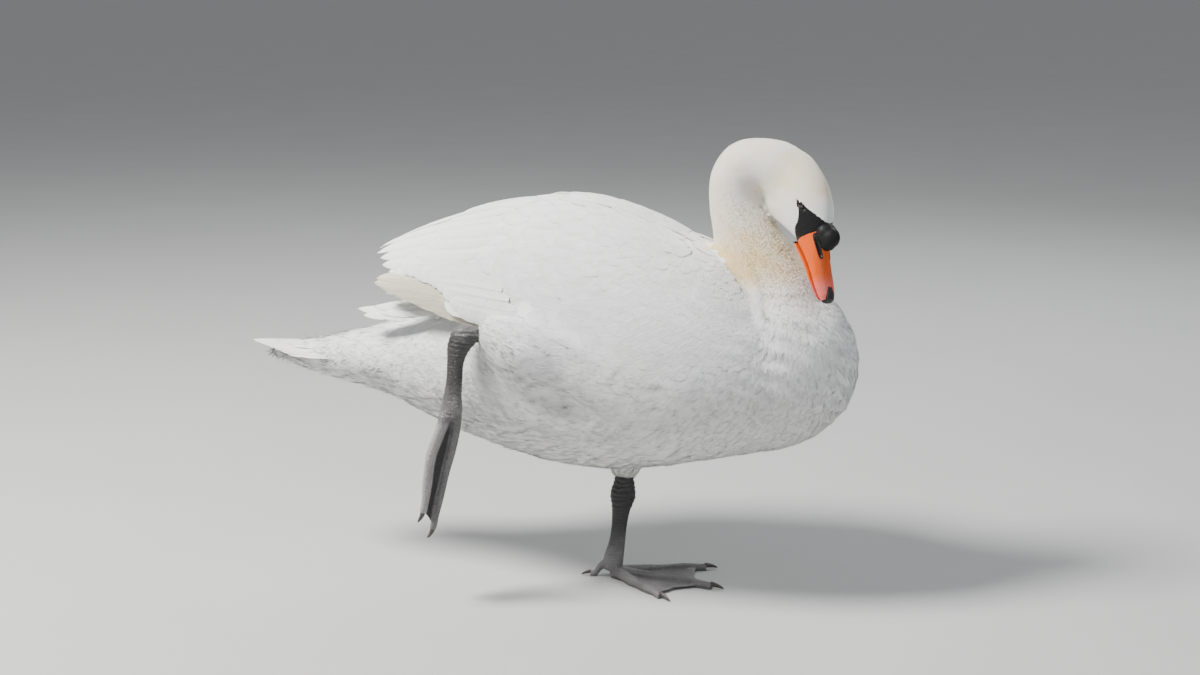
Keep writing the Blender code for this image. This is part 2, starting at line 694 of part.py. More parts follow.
def tail_fan(name, grow=0.0):
    """The tail's quills as one toothed, slightly arched wedge."""
    rings = []
    across = 8 if grow else (TAIL_FEATHERS - 1) * 2
    steps = 4 if grow else 5
    for i in range(steps + 1):
        u = i / steps
        upper, lower = [], []
        for k in range(across + 1):
            v = -1 + 2 * k / across
            tooth = 0.006 if k % 2 and not grow else 0.0
            tip = TAIL_FAN_TIP + 0.062 * abs(v) ** 1.3 + tooth - grow
            x = TAIL_FAN_ROOT + grow + (tip - TAIL_FAN_ROOT - grow) * u
            half = 0.034 + 0.028 * math.sin(math.pi * min(1.0, u * 0.62)) + grow
            y = half * v * (1 - 0.28 * u**3)
            z = TAIL_FAN_HEIGHT - 0.012 * v * v + 0.001 * u
            t = 0.0032 * (1 - 0.62 * u) * (1 - 0.3 * v * v) + grow
            upper.append(Vector((x, y, z + t)))
            lower.append(Vector((x, y, z - t)))
        rings.append(upper + lower[::-1])
    return plate(name, rings)


def toe_rows(points, root, tip):
    n = len(points) - 1
    return [(*p, root + (tip - root) * i / n, (root + (tip - root) * i / n) * 0.86) for i, p in enumerate(points)]


def toe(name, points, root, tip, grow=0.0):
    return tube_loft(name, toe_rows(points, root, tip), 14, 12, Vector((0.05, 1, 0.02)), grow)


def claw(name, start, direction, down, scale=1.0, grow=0.0):
    """A curved claw from inside the toe's end."""
    direction = Vector(direction).normalized()
    down = Vector(down)
    down = (down - direction * down.dot(direction)).normalized()
    rows = []
    for i in range(7):
        u = i / 6
        p = Vector(start) + direction * (CLAW_LENGTH * scale * (u - 0.22)) + down * (0.0042 * scale * u * u)
        r = CLAW_RADIUS * scale * math.sqrt(max(0.02, 1 - u * 0.97)) + grow
        rows.append((*p, r * 0.85, r))
    return tube_loft(name, rows, 5, 6, Vector((0.05, 1, 0.02)))


def sheet(name, rail_a, rail_b, thick, normal_hint, steps=10, reach=0.9, sag=0.10):
    """A web between two toes: a thin plate whose front edge is drawn back between the tips."""
    a = smooth_rows([tuple(p) for p in rail_a], 24)
    b = smooth_rows([tuple(p) for p in rail_b], 24)
    rings = []
    for i in range(steps + 1):
        u = i / steps
        ring_top, ring_low = [], []
        for k in range(9):
            v = k / 8
            r = u * (reach - sag * 4 * v * (1 - v))
            ia, ib = r * 23, r * 23
            pa = Vector([np.interp(ia, range(24), a[:, c]) for c in range(3)])
            pb = Vector([np.interp(ib, range(24), b[:, c]) for c in range(3)])
            p = pa.lerp(pb, v)
            n = Vector(normal_hint).normalized()
            ring_top.append(p + n * thick / 2)
            ring_low.append(p - n * thick / 2)
        rings.append(ring_top + ring_low[::-1])
    return plate(name, rings)


def leg_right():
    pieces = [tube_loft("l", SHANK_R, 26, 20)]
    rails = {}
    for kind, points, root, tip in TOES_R:
        pieces.append(toe("t", points, root, tip))
        rails[kind] = points
    pieces.append(sheet("w", rails["outer"], rails["middle"], 0.0030, (1.0, -0.2, 0.1)))
    pieces.append(sheet("w", rails["middle"], rails["inner"], 0.0030, (1.0, 0.2, 0.1)))
    leg = fused(joined("leg_right", pieces), FOOT_VOXEL, 3, FOOT_FACES)
    claws = []
    for kind, points, root, tip in TOES_R:
        end = Vector(points[-1])
        way = (end - Vector(points[-2])).normalized()
        size = 0.75 if kind == "hind" else 1.0
        down = Vector((-1.0, 0.0, 0.2))
        cut(leg, claw("c", end + way * tip * 0.5, way, down, size, GAP))
        claws.append(claw("claw_right_" + kind, end + way * tip * 0.5, way, down, size))
    biggest(leg)
    foot = copy_of(leg, "foot_right")
    leg.name = "shank_right"
    normal = Vector((0.12, 0.0, 1.0)).normalized()
    middle = Vector((-0.1525, -0.151, 0.2640))
    keep_side(leg, middle + normal * GAP, normal)
    keep_side(foot, middle, -normal)
    biggest(leg)
    biggest(foot)
    # the upper end stops at the feathered thigh
    out = Vector((-0.86, -0.28, 0.22)).normalized()
    keep_side(leg, Vector((-0.1165, -0.1455, 0.3525)) + out * GAP, out)
    biggest(leg)
    return leg, foot, claws


def leg_left():
    pieces = [tube_loft("l", SHANK_L, 24, 20)]
    rails, ends = {}, []
    for kind, turn, length, root, tip in TOES_L:
        a = math.radians(turn)
        way = Vector((math.cos(a), math.sin(a), 0))
        pts = []
        for i in range(6):
            u = i / 5
            h = 0.0060 * (1 - u) + tip * 0.55 * u
            pts.append(FOOT_L + way * (0.004 + (length - 0.004) * u) + Vector((0, 0, h - FOOT_L.z + 0.0018 * math.sin(u * math.pi * 3) ** 2)))
        pieces.append(toe("t", pts, root, tip))
        rails[kind] = [Vector((p.x, p.y, 0.0036)) for p in pts]
        ends.append((kind, pts[-1], way, tip))
    hind = [FOOT_L + Vector(p) for p in HIND_TOE_L]
    pieces.append(toe("t", hind, 0.0058, 0.0045))
    ends.append(("hind", hind[-1], Vector((-1.0, -0.12, -0.10)), 0.0045))
    pieces.append(sheet("w", rails["inner"], rails["middle"], 0.0030, (0, 0, 1)))
    pieces.append(sheet("w", rails["middle"], rails["outer"], 0.0030, (0, 0, 1)))
    leg = fused(joined("leg_left", pieces), FOOT_VOXEL, 3, FOOT_FACES)
    claws = []
    for kind, end, way, tip in ends:
        size = 0.75 if kind == "hind" else 1.0
        way = way.normalized()
        start = end + way * tip * 0.5 + Vector((0, 0, 0.0030 if kind != "hind" else 0.0034))
        down = Vector((0, 0, -0.25 if kind != "hind" else -0.6))
        cut(leg, claw("c", start, way, down, size, GAP))
        claws.append(claw("claw_left_" + kind, start, way, down, size))
    biggest(leg)
    keep_side(leg, Vector((0, 0, 0)), Vector((0, 0, 1)))
    biggest(leg)
    foot = copy_of(leg, "foot_left")
    leg.name = "shank_left"
    keep_side(leg, Vector((0, 0, 0.0300 + GAP)), Vector((0, 0, 1)))
    keep_side(foot, Vector((0, 0, 0.0300)), Vector((0, 0, -1)))
    biggest(leg)
    biggest(foot)
    keep_side(leg, Vector((0, 0, 0.1318)), Vector((0, 0, -1)))
    biggest(leg)
    return leg, foot, claws


def jaw_loft(name):
    long, up, right = head_axes()
    rings = []
    for back, top, bottom, half in smooth_rows(JAW, 9, True):
        mid, h = (top + bottom) / 2, (top - bottom) / 2
        rings.append(section(BILL_TIP - long * back + up * mid, right, up, half, h, h, 12, 2.6, 2.0))
    return loft(name, rings)


def knob(name, grow=0.0):
    middle = at_head(KNOB_BACK, KNOB_UP, 0.0)
    long, up, right = head_axes()
    obj = ball(name, (0, 0, 0), (KNOB_RADII[0] + grow, KNOB_RADII[1] + grow, KNOB_RADII[2] + grow), 12, 8)
    frame = Matrix((-long, right, up)).transposed().to_4x4()
    frame.translation = middle
    obj.data.transform(frame)
    return obj


def bill():
    long, up, right = head_axes()
    upper = head_loft("bill_upper", BILL, 14, 14, 2.1, 3.2)
    lower = jaw_loft("bill_lower")
    plane = at_head(BILL_BASE - GAP, 0, 0)
    keep_side(upper, plane, long)
    keep_side(lower, plane, long)
    cut(upper, knob("k", GAP))
    biggest(upper)
    nail = copy_of(upper, "bill_nail")
    keep_side(upper, at_head(NAIL_BACK, 0, 0), -long)
    keep_side(nail, at_head(NAIL_BACK - GAP, 0, 0), long)
    return [biggest(upper), biggest(nail), biggest(lower), knob("bill_knob")]


def thigh_rows(rows, more, outwards, inwards=0.0):
    grown = [(x, y, z, a + more, b + more) for x, y, z, a, b in rows]
    first, second = Vector(rows[0][:3]), Vector(rows[1][:3])
    start = first + (first - second).normalized() * inwards
    grown[0] = (*start, *grown[0][3:])
    last, prev = Vector(rows[-1][:3]), Vector(rows[-2][:3])
    end = last + (last - prev).normalized() * outwards
    return grown + [(*end, grown[-1][3], grown[-1][4])]


def body_name(middle, size):
    if middle.x < -0.30:
        return "tail_coverts"
    if middle.z > 0.47 and middle.x > 0.205:
        return "head"
    if middle.z > 0.447:
        return "neck_upper"
    if middle.z > 0.39 and middle.x > 0.12 and size.x < 0.20:
        return "neck_lower"
    return "trunk"


def material(obj, kind, rough):
    m = bpy.data.materials.new(obj.name)
    m.use_nodes = True
    shader = m.node_tree.nodes["Principled BSDF"]
    shader.inputs["Base Color"].default_value = (*COLOURS[kind], 1.0)
    shader.inputs["Roughness"].default_value = rough
    obj.data.materials.clear()
    obj.data.materials.append(m)


def main():
    for obj in list(bpy.data.objects):
        bpy.data.objects.remove(obj, do_unlink=True)

    body = body_form()

    # folded wings and the quill layers that lie over the rump
    made = []
    for side, word in ((1, "left"), (-1, "right")):
        wing = copy_of(body, "wing_" + word)
        cut(wing, wing_cutter("w", side, 0.0), "INTERSECT")
        cut(wing, shell("s", side, *TERTIAL_THICK, grow=GAP))
        cut(wing, primaries("p", side, GAP))
        made.append(biggest(wing))
        made.append(shell("tertials_" + word, side, *TERTIAL_THICK))
        made.append(primaries("primaries_" + word, side))
    for side in (1, -1):
        cut(body, wing_cutter("w", side, GAP))
    for side in (1, -1):
        cut(body, primaries("p", side, GAP))
        cut(body, shell("s", side, *TERTIAL_THICK, grow=GAP))
    biggest(body)

    # thighs
    for rows, word in ((THIGH_R, "right"), (THIGH_L, "left")):
        thigh = copy_of(body, "thigh_" + word)
        cut(thigh, tube_loft("t", thigh_rows(rows, 0.0035, 0.012), 8, 12), "INTERSECT")
        biggest(thigh)
        cut(body, tube_loft("t", thigh_rows(rows, 0.0035 + 1.3 * GAP, 0.012 + GAP, 2 * GAP), 8, 12))
        biggest(body)
        shank = SHANK_R if word == "right" else SHANK_L
        cut(thigh, tube_loft("s", shank, 18, 18, grow=0.0012))
        made.append(biggest(thigh))

    # tail quills, bill and eyes
    cut(body, tail_fan("f", GAP * 2))
    made.append(tail_fan("tail_feathers"))
    made += bill()
    long, up, right = head_axes()
    cut(body, knob("k", GAP))
    for word, way in (("right", 1), ("left", -1)):
        middle = at_head(EYE_BACK, EYE_UP, EYE_OUT * way)
        cut(body, ball("e", middle, (EYE_RADIUS + GAP,) * 3, 12, 8))
        made.append(ball("eye_" + word, middle, (EYE_RADIUS,) * 3, 12, 8))
    front = slab_block("b", at_head(BILL_BASE - 0.02, 0.0, 0.0), long, right, up, 0.02, 0.03, 0.045)
    cut(body, front)
    biggest(body)

    # neck, head and tail are parted from the trunk by thin cuts
    for line, width in PARTINGS:
        cut(body, band("s", line, width))
    made += split_loose(body, body_name).values()
    for leg in (leg_right, leg_left):
        shank, foot, claws = leg()
        made += [shank, foot] + claws

    for obj in made:
        kind, rough = "feather", 0.85
        if obj.name.startswith(("shank", "foot")):
            kind, rough = "leg", 0.5
        elif obj.name.startswith("claw"):
            kind, rough = "claw", 0.35
        elif obj.name.startswith("eye"):
            kind, rough = "eye", 0.05
        elif obj.name in ("bill_upper", "bill_lower"):
            kind, rough = "orange", 0.4
        elif obj.name.startswith("bill"):
            kind, rough = "black", 0.4
        material(obj, kind, rough)
        fewer_flats(obj)
        obj.data.transform(Matrix.Translation((SHIFT_X, SHIFT_Y, 0.0)))


main()
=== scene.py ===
"""Looks of a life-size museum model of a mute swan, standing on its left leg with the right one held back.

Everything is worked out in the bird's own frame (+X forward, +Y its left, +Z up, floor at 0) and moved by SHIFT
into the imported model's frame when a mesh is made.
"""
import math

import bmesh
import bpy
import numpy as np
from mathutils import Matrix, Vector
from mathutils.bvhtree import BVHTree
from mathutils.kdtree import KDTree


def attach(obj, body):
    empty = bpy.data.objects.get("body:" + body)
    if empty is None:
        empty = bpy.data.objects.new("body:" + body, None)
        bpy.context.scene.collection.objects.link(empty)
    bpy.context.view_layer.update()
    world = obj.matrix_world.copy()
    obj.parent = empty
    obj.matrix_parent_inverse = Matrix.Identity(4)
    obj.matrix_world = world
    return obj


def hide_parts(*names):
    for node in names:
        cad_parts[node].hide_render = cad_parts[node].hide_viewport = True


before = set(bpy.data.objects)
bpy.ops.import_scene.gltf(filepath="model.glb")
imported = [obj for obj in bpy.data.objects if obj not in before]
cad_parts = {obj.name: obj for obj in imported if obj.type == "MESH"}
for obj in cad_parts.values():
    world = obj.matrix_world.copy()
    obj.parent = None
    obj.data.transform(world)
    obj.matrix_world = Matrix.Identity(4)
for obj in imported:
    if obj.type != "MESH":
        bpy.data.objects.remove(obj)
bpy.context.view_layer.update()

SHIFT = np.array((0.0728, 0.0087, 0.0))
rng = np.random.default_rng(11)

# ================================================================ the bird's form: the same sections as the solids
BILL_TIP = Vector((0.2930, -0.0700, 0.3890))
HEAD_LONG = Vector((0.2953, -0.3480, -0.8894)).normalized()  # from nape to bill tip
HEAD_UP_HINT = Vector((0.7700, -0.4640, 0.4370))  # towards the crown
EYE_BACK = 0.1245  # eye centre, back from the bill tip
EYE_UP = 0.0120
EYE_OUT = 0.0215
EYE_RADIUS = 0.0080
KNOB_BACK = 0.0715
KNOB_UP = 0.0262

# back with folded wings: x, top, half width, height of the widest point, groove between the wings
MANTLE = (
    (-0.300, 0.424, 0.074, 0.364, 0.010),
    (-0.270, 0.445, 0.088, 0.362, 0.012),
    (-0.240, 0.459, 0.101, 0.357, 0.014),
    (-0.190, 0.477, 0.119, 0.347, 0.017),
    (-0.150, 0.490, 0.131, 0.337, 0.018),
    (-0.100, 0.501, 0.141, 0.325, 0.018),
    (-0.050, 0.506, 0.147, 0.322, 0.016),
    (0.000, 0.503, 0.150, 0.320, 0.014),
    (0.050, 0.488, 0.151, 0.318, 0.011),
    (0.100, 0.467, 0.148, 0.314, 0.008),
    (0.150, 0.442, 0.139, 0.308, 0.004),
    (0.200, 0.405, 0.123, 0.300, 0.000),
    (0.240, 0.372, 0.104, 0.296, 0.000),
)
# trunk with the mass of the wings: x, top, bottom, half width, height of the widest point, groove
TRUNK = (
    (-0.335, 0.312, 0.250, 0.032, 0.288, 0.000),
    (-0.300, 0.322, 0.243, 0.050, 0.288, 0.000),
    (-0.250, 0.343, 0.228, 0.074, 0.290, 0.000),
    (-0.200, 0.362, 0.205, 0.096, 0.292, 0.002),
    (-0.165, 0.384, 0.192, 0.113, 0.298, 0.006),
    (-0.135, 0.420, 0.183, 0.126, 0.306, 0.012),
    (-0.105, 0.474, 0.174, 0.136, 0.314, 0.017),
    (-0.075, 0.504, 0.167, 0.143, 0.319, 0.018),
    (-0.040, 0.508, 0.160, 0.148, 0.321, 0.016),
    (0.000, 0.504, 0.157, 0.150, 0.320, 0.014),
    (0.050, 0.489, 0.158, 0.151, 0.318, 0.011),
    (0.100, 0.467, 0.165, 0.148, 0.314, 0.008),
    (0.150, 0.440, 0.176, 0.139, 0.308, 0.004),
    (0.200, 0.402, 0.186, 0.123, 0.300, 0.000),
    (0.240, 0.368, 0.198, 0.103, 0.296, 0.000),
    (0.270, 0.345, 0.214, 0.080, 0.294, 0.000),
)
BREAST = (0.2000, 0.0, 0.3000, 0.1265, 0.1130, 0.1130)  # middle x, y, z; half length, width, height
# side outline of a folded wing, x and z, round the shoulder and back along its lower edge
WING_SIDE = (
    (0.060, 0.560), (0.120, 0.478), (0.146, 0.457), (0.160, 0.458), (0.176, 0.446), (0.191, 0.432), (0.202, 0.417), (0.211, 0.398),
    (0.217, 0.378), (0.219, 0.361), (0.213, 0.344), (0.192, 0.331), (0.147, 0.323), (0.099, 0.325),
    (0.045, 0.333), (0.000, 0.348), (-0.050, 0.364), (-0.098, 0.371), (-0.150, 0.379), (-0.172, 0.383),
    (-0.172, 0.560),
)
# neck: x, y, z, half width, half depth
NECK = (
    (0.195, 0.000, 0.255, 0.090, 0.100),
    (0.214, 0.000, 0.318, 0.080, 0.098),
    (0.213, 0.000, 0.375, 0.062, 0.072),
    (0.197, 0.000, 0.425, 0.047, 0.050),
    (0.181, 0.000, 0.465, 0.0375, 0.0385),
    (0.1715, 0.000, 0.500, 0.0325, 0.0335),
    (0.1715, -0.001, 0.526, 0.0315, 0.0325),
    (0.182, -0.003, 0.5430, 0.0310, 0.0315),
    (0.203, -0.006, 0.5460, 0.0310, 0.0315),
    (0.2245, -0.009, 0.5400, 0.0312, 0.0340),
    (0.2390, -0.013, 0.5250, 0.0302, 0.0340),
    (0.2450, -0.018, 0.5050, 0.0270, 0.0290),
)
# head: distance back from the bill tip, crown height, throat depth, half width
HEAD = (
    (0.0790, 0.0130, 0.0120, 0.0130),
    (0.0840, 0.0200, 0.0160, 0.0165),
    (0.0920, 0.0280, 0.0210, 0.0205),
    (0.1020, 0.0335, 0.0280, 0.0240),
    (0.1120, 0.0368, 0.0355, 0.0268),
    (0.1240, 0.0384, 0.0440, 0.0290),
    (0.1360, 0.0388, 0.0510, 0.0303),
    (0.1500, 0.0380, 0.0540, 0.0308),
    (0.1640, 0.0358, 0.0490, 0.0298),
    (0.1780, 0.0300, 0.0380, 0.0260),
    (0.1860, 0.0200, 0.0260, 0.0190),
)
# upper bill: back from the tip, culmen height, depth below the axis, half width
BILL = (
    (0.0000, 0.0010, 0.0030, 0.0030),
    (0.0020, 0.0035, 0.0050, 0.0070),
    (0.0070, 0.0058, 0.0058, 0.0108),
    (0.0150, 0.0073, 0.0058, 0.0135),
    (0.0270, 0.0085, 0.0058, 0.0154),
    (0.0400, 0.0103, 0.0060, 0.0160),
    (0.0530, 0.0136, 0.0073, 0.0161),
    (0.0660, 0.0185, 0.0102, 0.0161),
    (0.0770, 0.0228, 0.0134, 0.0163),
    (0.0880, 0.0245, 0.0160, 0.0162),
    (0.0960, 0.0200, 0.0150, 0.0130),
)
# lower bill: back from the tip, top under the axis, bottom under the axis, half width
JAW = (
    (0.0045, -0.0064, -0.0078, 0.0045),
    (0.0080, -0.0067, -0.0092, 0.0085),
    (0.0160, -0.0067, -0.0107, 0.0117),
    (0.0300, -0.0067, -0.0123, 0.0134),
    (0.0450, -0.0074, -0.0137, 0.0136),
    (0.0600, -0.0098, -0.0161, 0.0134),
    (0.0740, -0.0139, -0.0196, 0.0130),
    (0.0860, -0.0176, -0.0228, 0.0120),
)
# right thigh, held back, and left thigh, standing: x, y, z, half width, half depth
THIGH_R = (
    (0.010, -0.085, 0.290, 0.050, 0.072),
    (-0.035, -0.108, 0.315, 0.042, 0.060),
    (-0.070, -0.126, 0.335, 0.032, 0.044),
    (-0.098, -0.139, 0.347, 0.0215, 0.027),
    (-0.118, -0.147, 0.353, 0.0145, 0.0165),
)
THIGH_L = (
    (0.040, 0.050, 0.235, 0.052, 0.070),
    (0.034, 0.042, 0.195, 0.042, 0.056),
    (0.030, 0.030, 0.165, 0.030, 0.036),
    (0.029, 0.022, 0.146, 0.0185, 0.0210),
    (0.0285, 0.019, 0.132, 0.0130, 0.0140),
)
# tail coverts: x, top, bottom, half width, height of the widest point, 0
TAIL = (
    (-0.438, 0.2900, 0.2800, 0.012, 0.286, 0.0),
    (-0.420, 0.2940, 0.2720, 0.022, 0.286, 0.0),
    (-0.390, 0.2990, 0.2630, 0.034, 0.286, 0.0),
    (-0.350, 0.3100, 0.2535, 0.047, 0.287, 0.0),
    (-0.310, 0.3200, 0.2460, 0.059, 0.288, 0.0),
    (-0.240, 0.3450, 0.2320, 0.076, 0.290, 0.0),
)
TERTIAL_ROOT = -0.080  # front end of the tertial layer
TERTIAL_LOW = (15.0, 24.0)  # its lower edge, degrees round the mantle, at the root and at the tips
TERTIAL_THICK = (0.0100, 0.0022)
# the folded primaries: x, distance out, z, half thickness, half height
PRIMARIES = (
    (-0.110, 0.096, 0.384, 0.0040, 0.0140),
    (-0.150, 0.090, 0.374, 0.0040, 0.0165),
    (-0.200, 0.080, 0.366, 0.0032, 0.0165),
    (-0.245, 0.070, 0.3600, 0.0024, 0.0150),
    (-0.280, 0.061, 0.3565, 0.0016, 0.0105),
    (-0.304, 0.054, 0.3560, 0.0010, 0.0035),
)
TAIL_FAN_ROOT = -0.300
TAIL_FAN_TIP = -0.471
TAIL_FAN_HEIGHT = 0.2945
TAIL_FEATHERS = 11

# shanks: x, y, z, half width, half depth, from the feathered thigh down to the toes' root
SHANK_R = (
    (-0.108, -0.1420, 0.349, 0.0095, 0.0110),
    (-0.121, -0.1475, 0.355, 0.0105, 0.0125),
    (-0.134, -0.1500, 0.352, 0.0110, 0.0150),
    (-0.142, -0.1510, 0.337, 0.0100, 0.0135),
    (-0.1455, -0.1510, 0.318, 0.0078, 0.0108),
    (-0.1475, -0.1510, 0.295, 0.0070, 0.0100),
    (-0.1500, -0.1510, 0.273, 0.0080, 0.0112),
    (-0.1520, -0.1510, 0.256, 0.0105, 0.0135),
    (-0.1540, -0.1510, 0.243, 0.0095, 0.0120),
)
SHANK_L = (
    (0.0287, 0.0180, 0.142, 0.0085, 0.0095),
    (0.0285, 0.0165, 0.124, 0.0105, 0.0140),
    (0.0272, 0.0150, 0.108, 0.0115, 0.0165),
    (0.0255, 0.0130, 0.092, 0.0088, 0.0125),
    (0.0234, 0.0114, 0.070, 0.0072, 0.0102),
    (0.0206, 0.0096, 0.045, 0.0074, 0.0108),
    (0.0166, 0.0080, 0.024, 0.0098, 0.0130),
    (0.0151, 0.0072, 0.0090, 0.0110, 0.0130),
)
# toes of the raised right foot: three joints and the tip's radius
TOES_R = (
    ("inner", ((-0.152, -0.141, 0.250), (-0.163, -0.135, 0.215), (-0.175, -0.133, 0.175), (-0.184, -0.134, 0.146)), 0.0068, 0.0048),
    ("middle", ((-0.146, -0.150, 0.250), (-0.1490, -0.1475, 0.226), (-0.161, -0.1430, 0.183), (-0.1700, -0.1400, 0.150), (-0.1795, -0.1370, 0.113), (-0.1835, -0.1355, 0.098)), 0.0075, 0.0048),
    ("outer", ((-0.157, -0.159, 0.250), (-0.1680, -0.1610, 0.222), (-0.1770, -0.1620, 0.196), (-0.1820, -0.1620, 0.164), (-0.1860, -0.1610, 0.134), (-0.1880, -0.1600, 0.126)), 0.0075, 0.0050),
    ("hind", ((-0.158, -0.147, 0.256), (-0.1650, -0.1450, 0.2480), (-0.1685, -0.1440, 0.2380)), 0.0055, 0.0042),
)
# toes of the standing left foot
FOOT_L = Vector((0.0151, 0.0072, 0.0085))
TOES_L = (
    ("inner", -42.0, 0.104, 0.0078, 0.0055),
    ("middle", -9.0, 0.136, 0.0084, 0.0058),
    ("outer", 23.0, 0.126, 0.0080, 0.0055),
)
HIND_TOE_L = ((-0.0070, -0.0016, 0.0118), (-0.0170, -0.0030, 0.0022), (-0.0220, -0.0038, -0.0046), (-0.0285, -0.0048, -0.0062))
KNOB_RADII = (0.0115, 0.0105, 0.0125)
BILL_BASE = 0.0865  # where the bill meets the feathered face, back from the tip
NAIL_BACK = 0.0125

# under the velvet the crown lies a little lower, and the right thigh's feathers end in a round, not a flat
HEAD_TRIM = {0.1240: 0.0008, 0.1360: 0.0018, 0.1500: 0.0036, 0.1640: 0.0060, 0.1780: 0.0060}
HEAD = tuple((r[0], r[1] - HEAD_TRIM.get(r[0], 0.0), r[2], r[3]) for r in HEAD)
THIGH_R = THIGH_R[:4] + ((-0.1080, -0.1430, 0.3500, 0.0165, 0.0192), (-0.1150, -0.1458, 0.3515, 0.0102, 0.0115))
EYE_BACK, EYE_UP, EYE_OUT, EYE_RADIUS = 0.1245, 0.0120, 0.0215, 0.0080


def smooth_rows(rows, count, axis_only=False):
    """Rows of numbers along a smooth curve, spaced evenly by chord length."""
    p = np.array(rows, float)
    lead = p[:, :1] if axis_only else p[:, :3]
    chord = np.sqrt((np.diff(lead, axis=0) ** 2).sum(1))
    t = np.concatenate([[0.0], np.cumsum(np.maximum(chord, 1e-9))])
    slope = np.gradient(p, t, axis=0)
    at = np.linspace(0.0, t[-1], count)
    i = np.clip(np.searchsorted(t, at, "right") - 1, 0, len(t) - 2)
    h = (t[i + 1] - t[i])[:, None]
    s = ((at - t[i])[:, None]) / h
    return (
        (2 * s**3 - 3 * s**2 + 1) * p[i]
        + (s**3 - 2 * s**2 + s) * h * slope[i]
        + (-2 * s**3 + 3 * s**2) * p[i + 1]
        + (s**3 - s**2) * h * slope[i + 1]
    )


def unit(v):
    v = np.asarray(v, float)
    return v / np.maximum(np.linalg.norm(v, axis=-1, keepdims=True), 1e-12)


def power(c, e):
    return np.sign(c) * np.abs(c) ** (2.0 / e)


def ring_angles(n):
    return np.arange(n) * (2 * math.pi / n)


def section(middle, side, up, half, top, bottom, n, e_top=2.0, e_bottom=2.0):
    a = ring_angles(n)
    c, s = np.cos(a), np.sin(a)
    e = np.where(s > 0, e_top, e_bottom)
    h = np.where(s > 0, top, bottom)
    x = np.sign(c) * np.abs(c) ** (2.0 / e) * half
    y = np.sign(s) * np.abs(s) ** (2.0 / e) * h
    return middle + side * x[:, None] + up * y[:, None]


def loft_data(rings):
    """Vertices and faces of a closed body through rings, each end closed by a fan."""
    rings = np.asarray(rings, float)
    m, n = rings.shape[:2]
    points = np.concatenate([rings.reshape(-1, 3), [rings[0].mean(0)], [rings[-1].mean(0)]])
    a = np.arange(m - 1)[:, None] * n
    k = np.arange(n)[None]
    k2 = (k + 1) % n
    quads = np.stack([a + k, a + k2, a + n + k2, a + n + k], -1).reshape(-1, 4)
    faces = [tuple(q) for q in quads.tolist()]
    for k in range(n):
        k2 = (k + 1) % n
        faces.append((m * n, k2, k))
        faces.append((m * n + 1, (m - 1) * n + k, (m - 1) * n + k2))
    return points, faces


def upright_rings(rows, count, n, e_top=2.0, e_bottom=2.0):
    out = []
    for x, top, bottom, half, mid, groove in smooth_rows(rows, count, True):
        r = section(np.array((x, 0, mid)), np.array((0, 1.0, 0)), np.array((0, 0, 1.0)), half, top - mid, mid - bottom, n, e_top, e_bottom)
        r[:, 2] -= np.where(r[:, 2] > mid, groove * np.exp(-((r[:, 1] / 0.030) ** 2)), 0.0)
        out.append(r)
    return np.array(out)


def tube_frames(rows, count, side=(0, 1.0, 0)):
    fine = smooth_rows(rows, count)
    t = unit(np.gradient(fine[:, :3], axis=0))
    side = np.asarray(side, float)
    s = unit(side - t * (t @ side)[:, None])
    up = unit(np.cross(t, s))
    return fine, t, s, up


def tube_rings(rows, count, n, side=(0, 1.0, 0), grow=0.0):
    fine, t, s, up = tube_frames(rows, count, side)
    return np.array([section(p[:3], a, b, p[3] + grow, p[4] + grow, p[4] + grow, n) for p, a, b in zip(fine, s, up)])


def ball_rings(middle, radii, n, m):
    out = []
    for a in range(1, m):
        lat = math.pi * a / m
        k = ring_angles(n)
        out.append(np.stack([np.full(n, -math.cos(lat) * radii[0]), math.sin(lat) * np.cos(k) * radii[1], math.sin(lat) * np.sin(k) * radii[2]], -1) + middle)
    return np.array(out)


H_LONG = np.array(HEAD_LONG.normalized())
H_UP = np.array(HEAD_UP_HINT)
H_UP = unit(H_UP - H_LONG * (H_UP @ H_LONG))
H_RIGHT = np.cross(H_LONG, H_UP)
TIP = np.array(BILL_TIP)


def at_head(back, up_by, right_by):
    """A point by its distance back from the bill tip, towards the crown and to the bird's right."""
    back, up_by, right_by = (np.asarray(v, float)[..., None] for v in (back, up_by, right_by))
    return TIP - H_LONG * back + H_UP * up_by + H_RIGHT * right_by


def head_coords(p):
    d = np.asarray(p, float) - TIP
    return -(d @ H_LONG), d @ H_UP, d @ H_RIGHT


def head_rings(rows, count, n, e_top=2.0, e_bottom=1.8):
    return np.array([section(TIP - H_LONG * r[0], H_RIGHT, H_UP, r[3], r[1], r[2], n, e_top, e_bottom) for r in smooth_rows(rows, count, True)])


def raw_mesh(name, points, faces):
    mesh = bpy.data.meshes.new(name)
    mesh.from_pydata(np.asarray(points).tolist(), [], faces)
    mesh.validate()
    bm = bmesh.new()
    bm.from_mesh(mesh)
    bmesh.ops.recalc_face_normals(bm, faces=bm.faces)
    if bm.calc_volume(signed=True) < 0:
        bmesh.ops.reverse_faces(bm, faces=bm.faces)
    bm.to_mesh(mesh)
    bm.free()
    return mesh


def joined_mesh(name, datas):
    bm = bmesh.new()
    for i, (points, faces) in enumerate(datas):
        mesh = raw_mesh("tmp", points, faces)
        bm.from_mesh(mesh)
        bpy.data.meshes.remove(mesh)
    mesh = bpy.data.meshes.new(name)
    bm.to_mesh(mesh)
    bm.free()
    return mesh


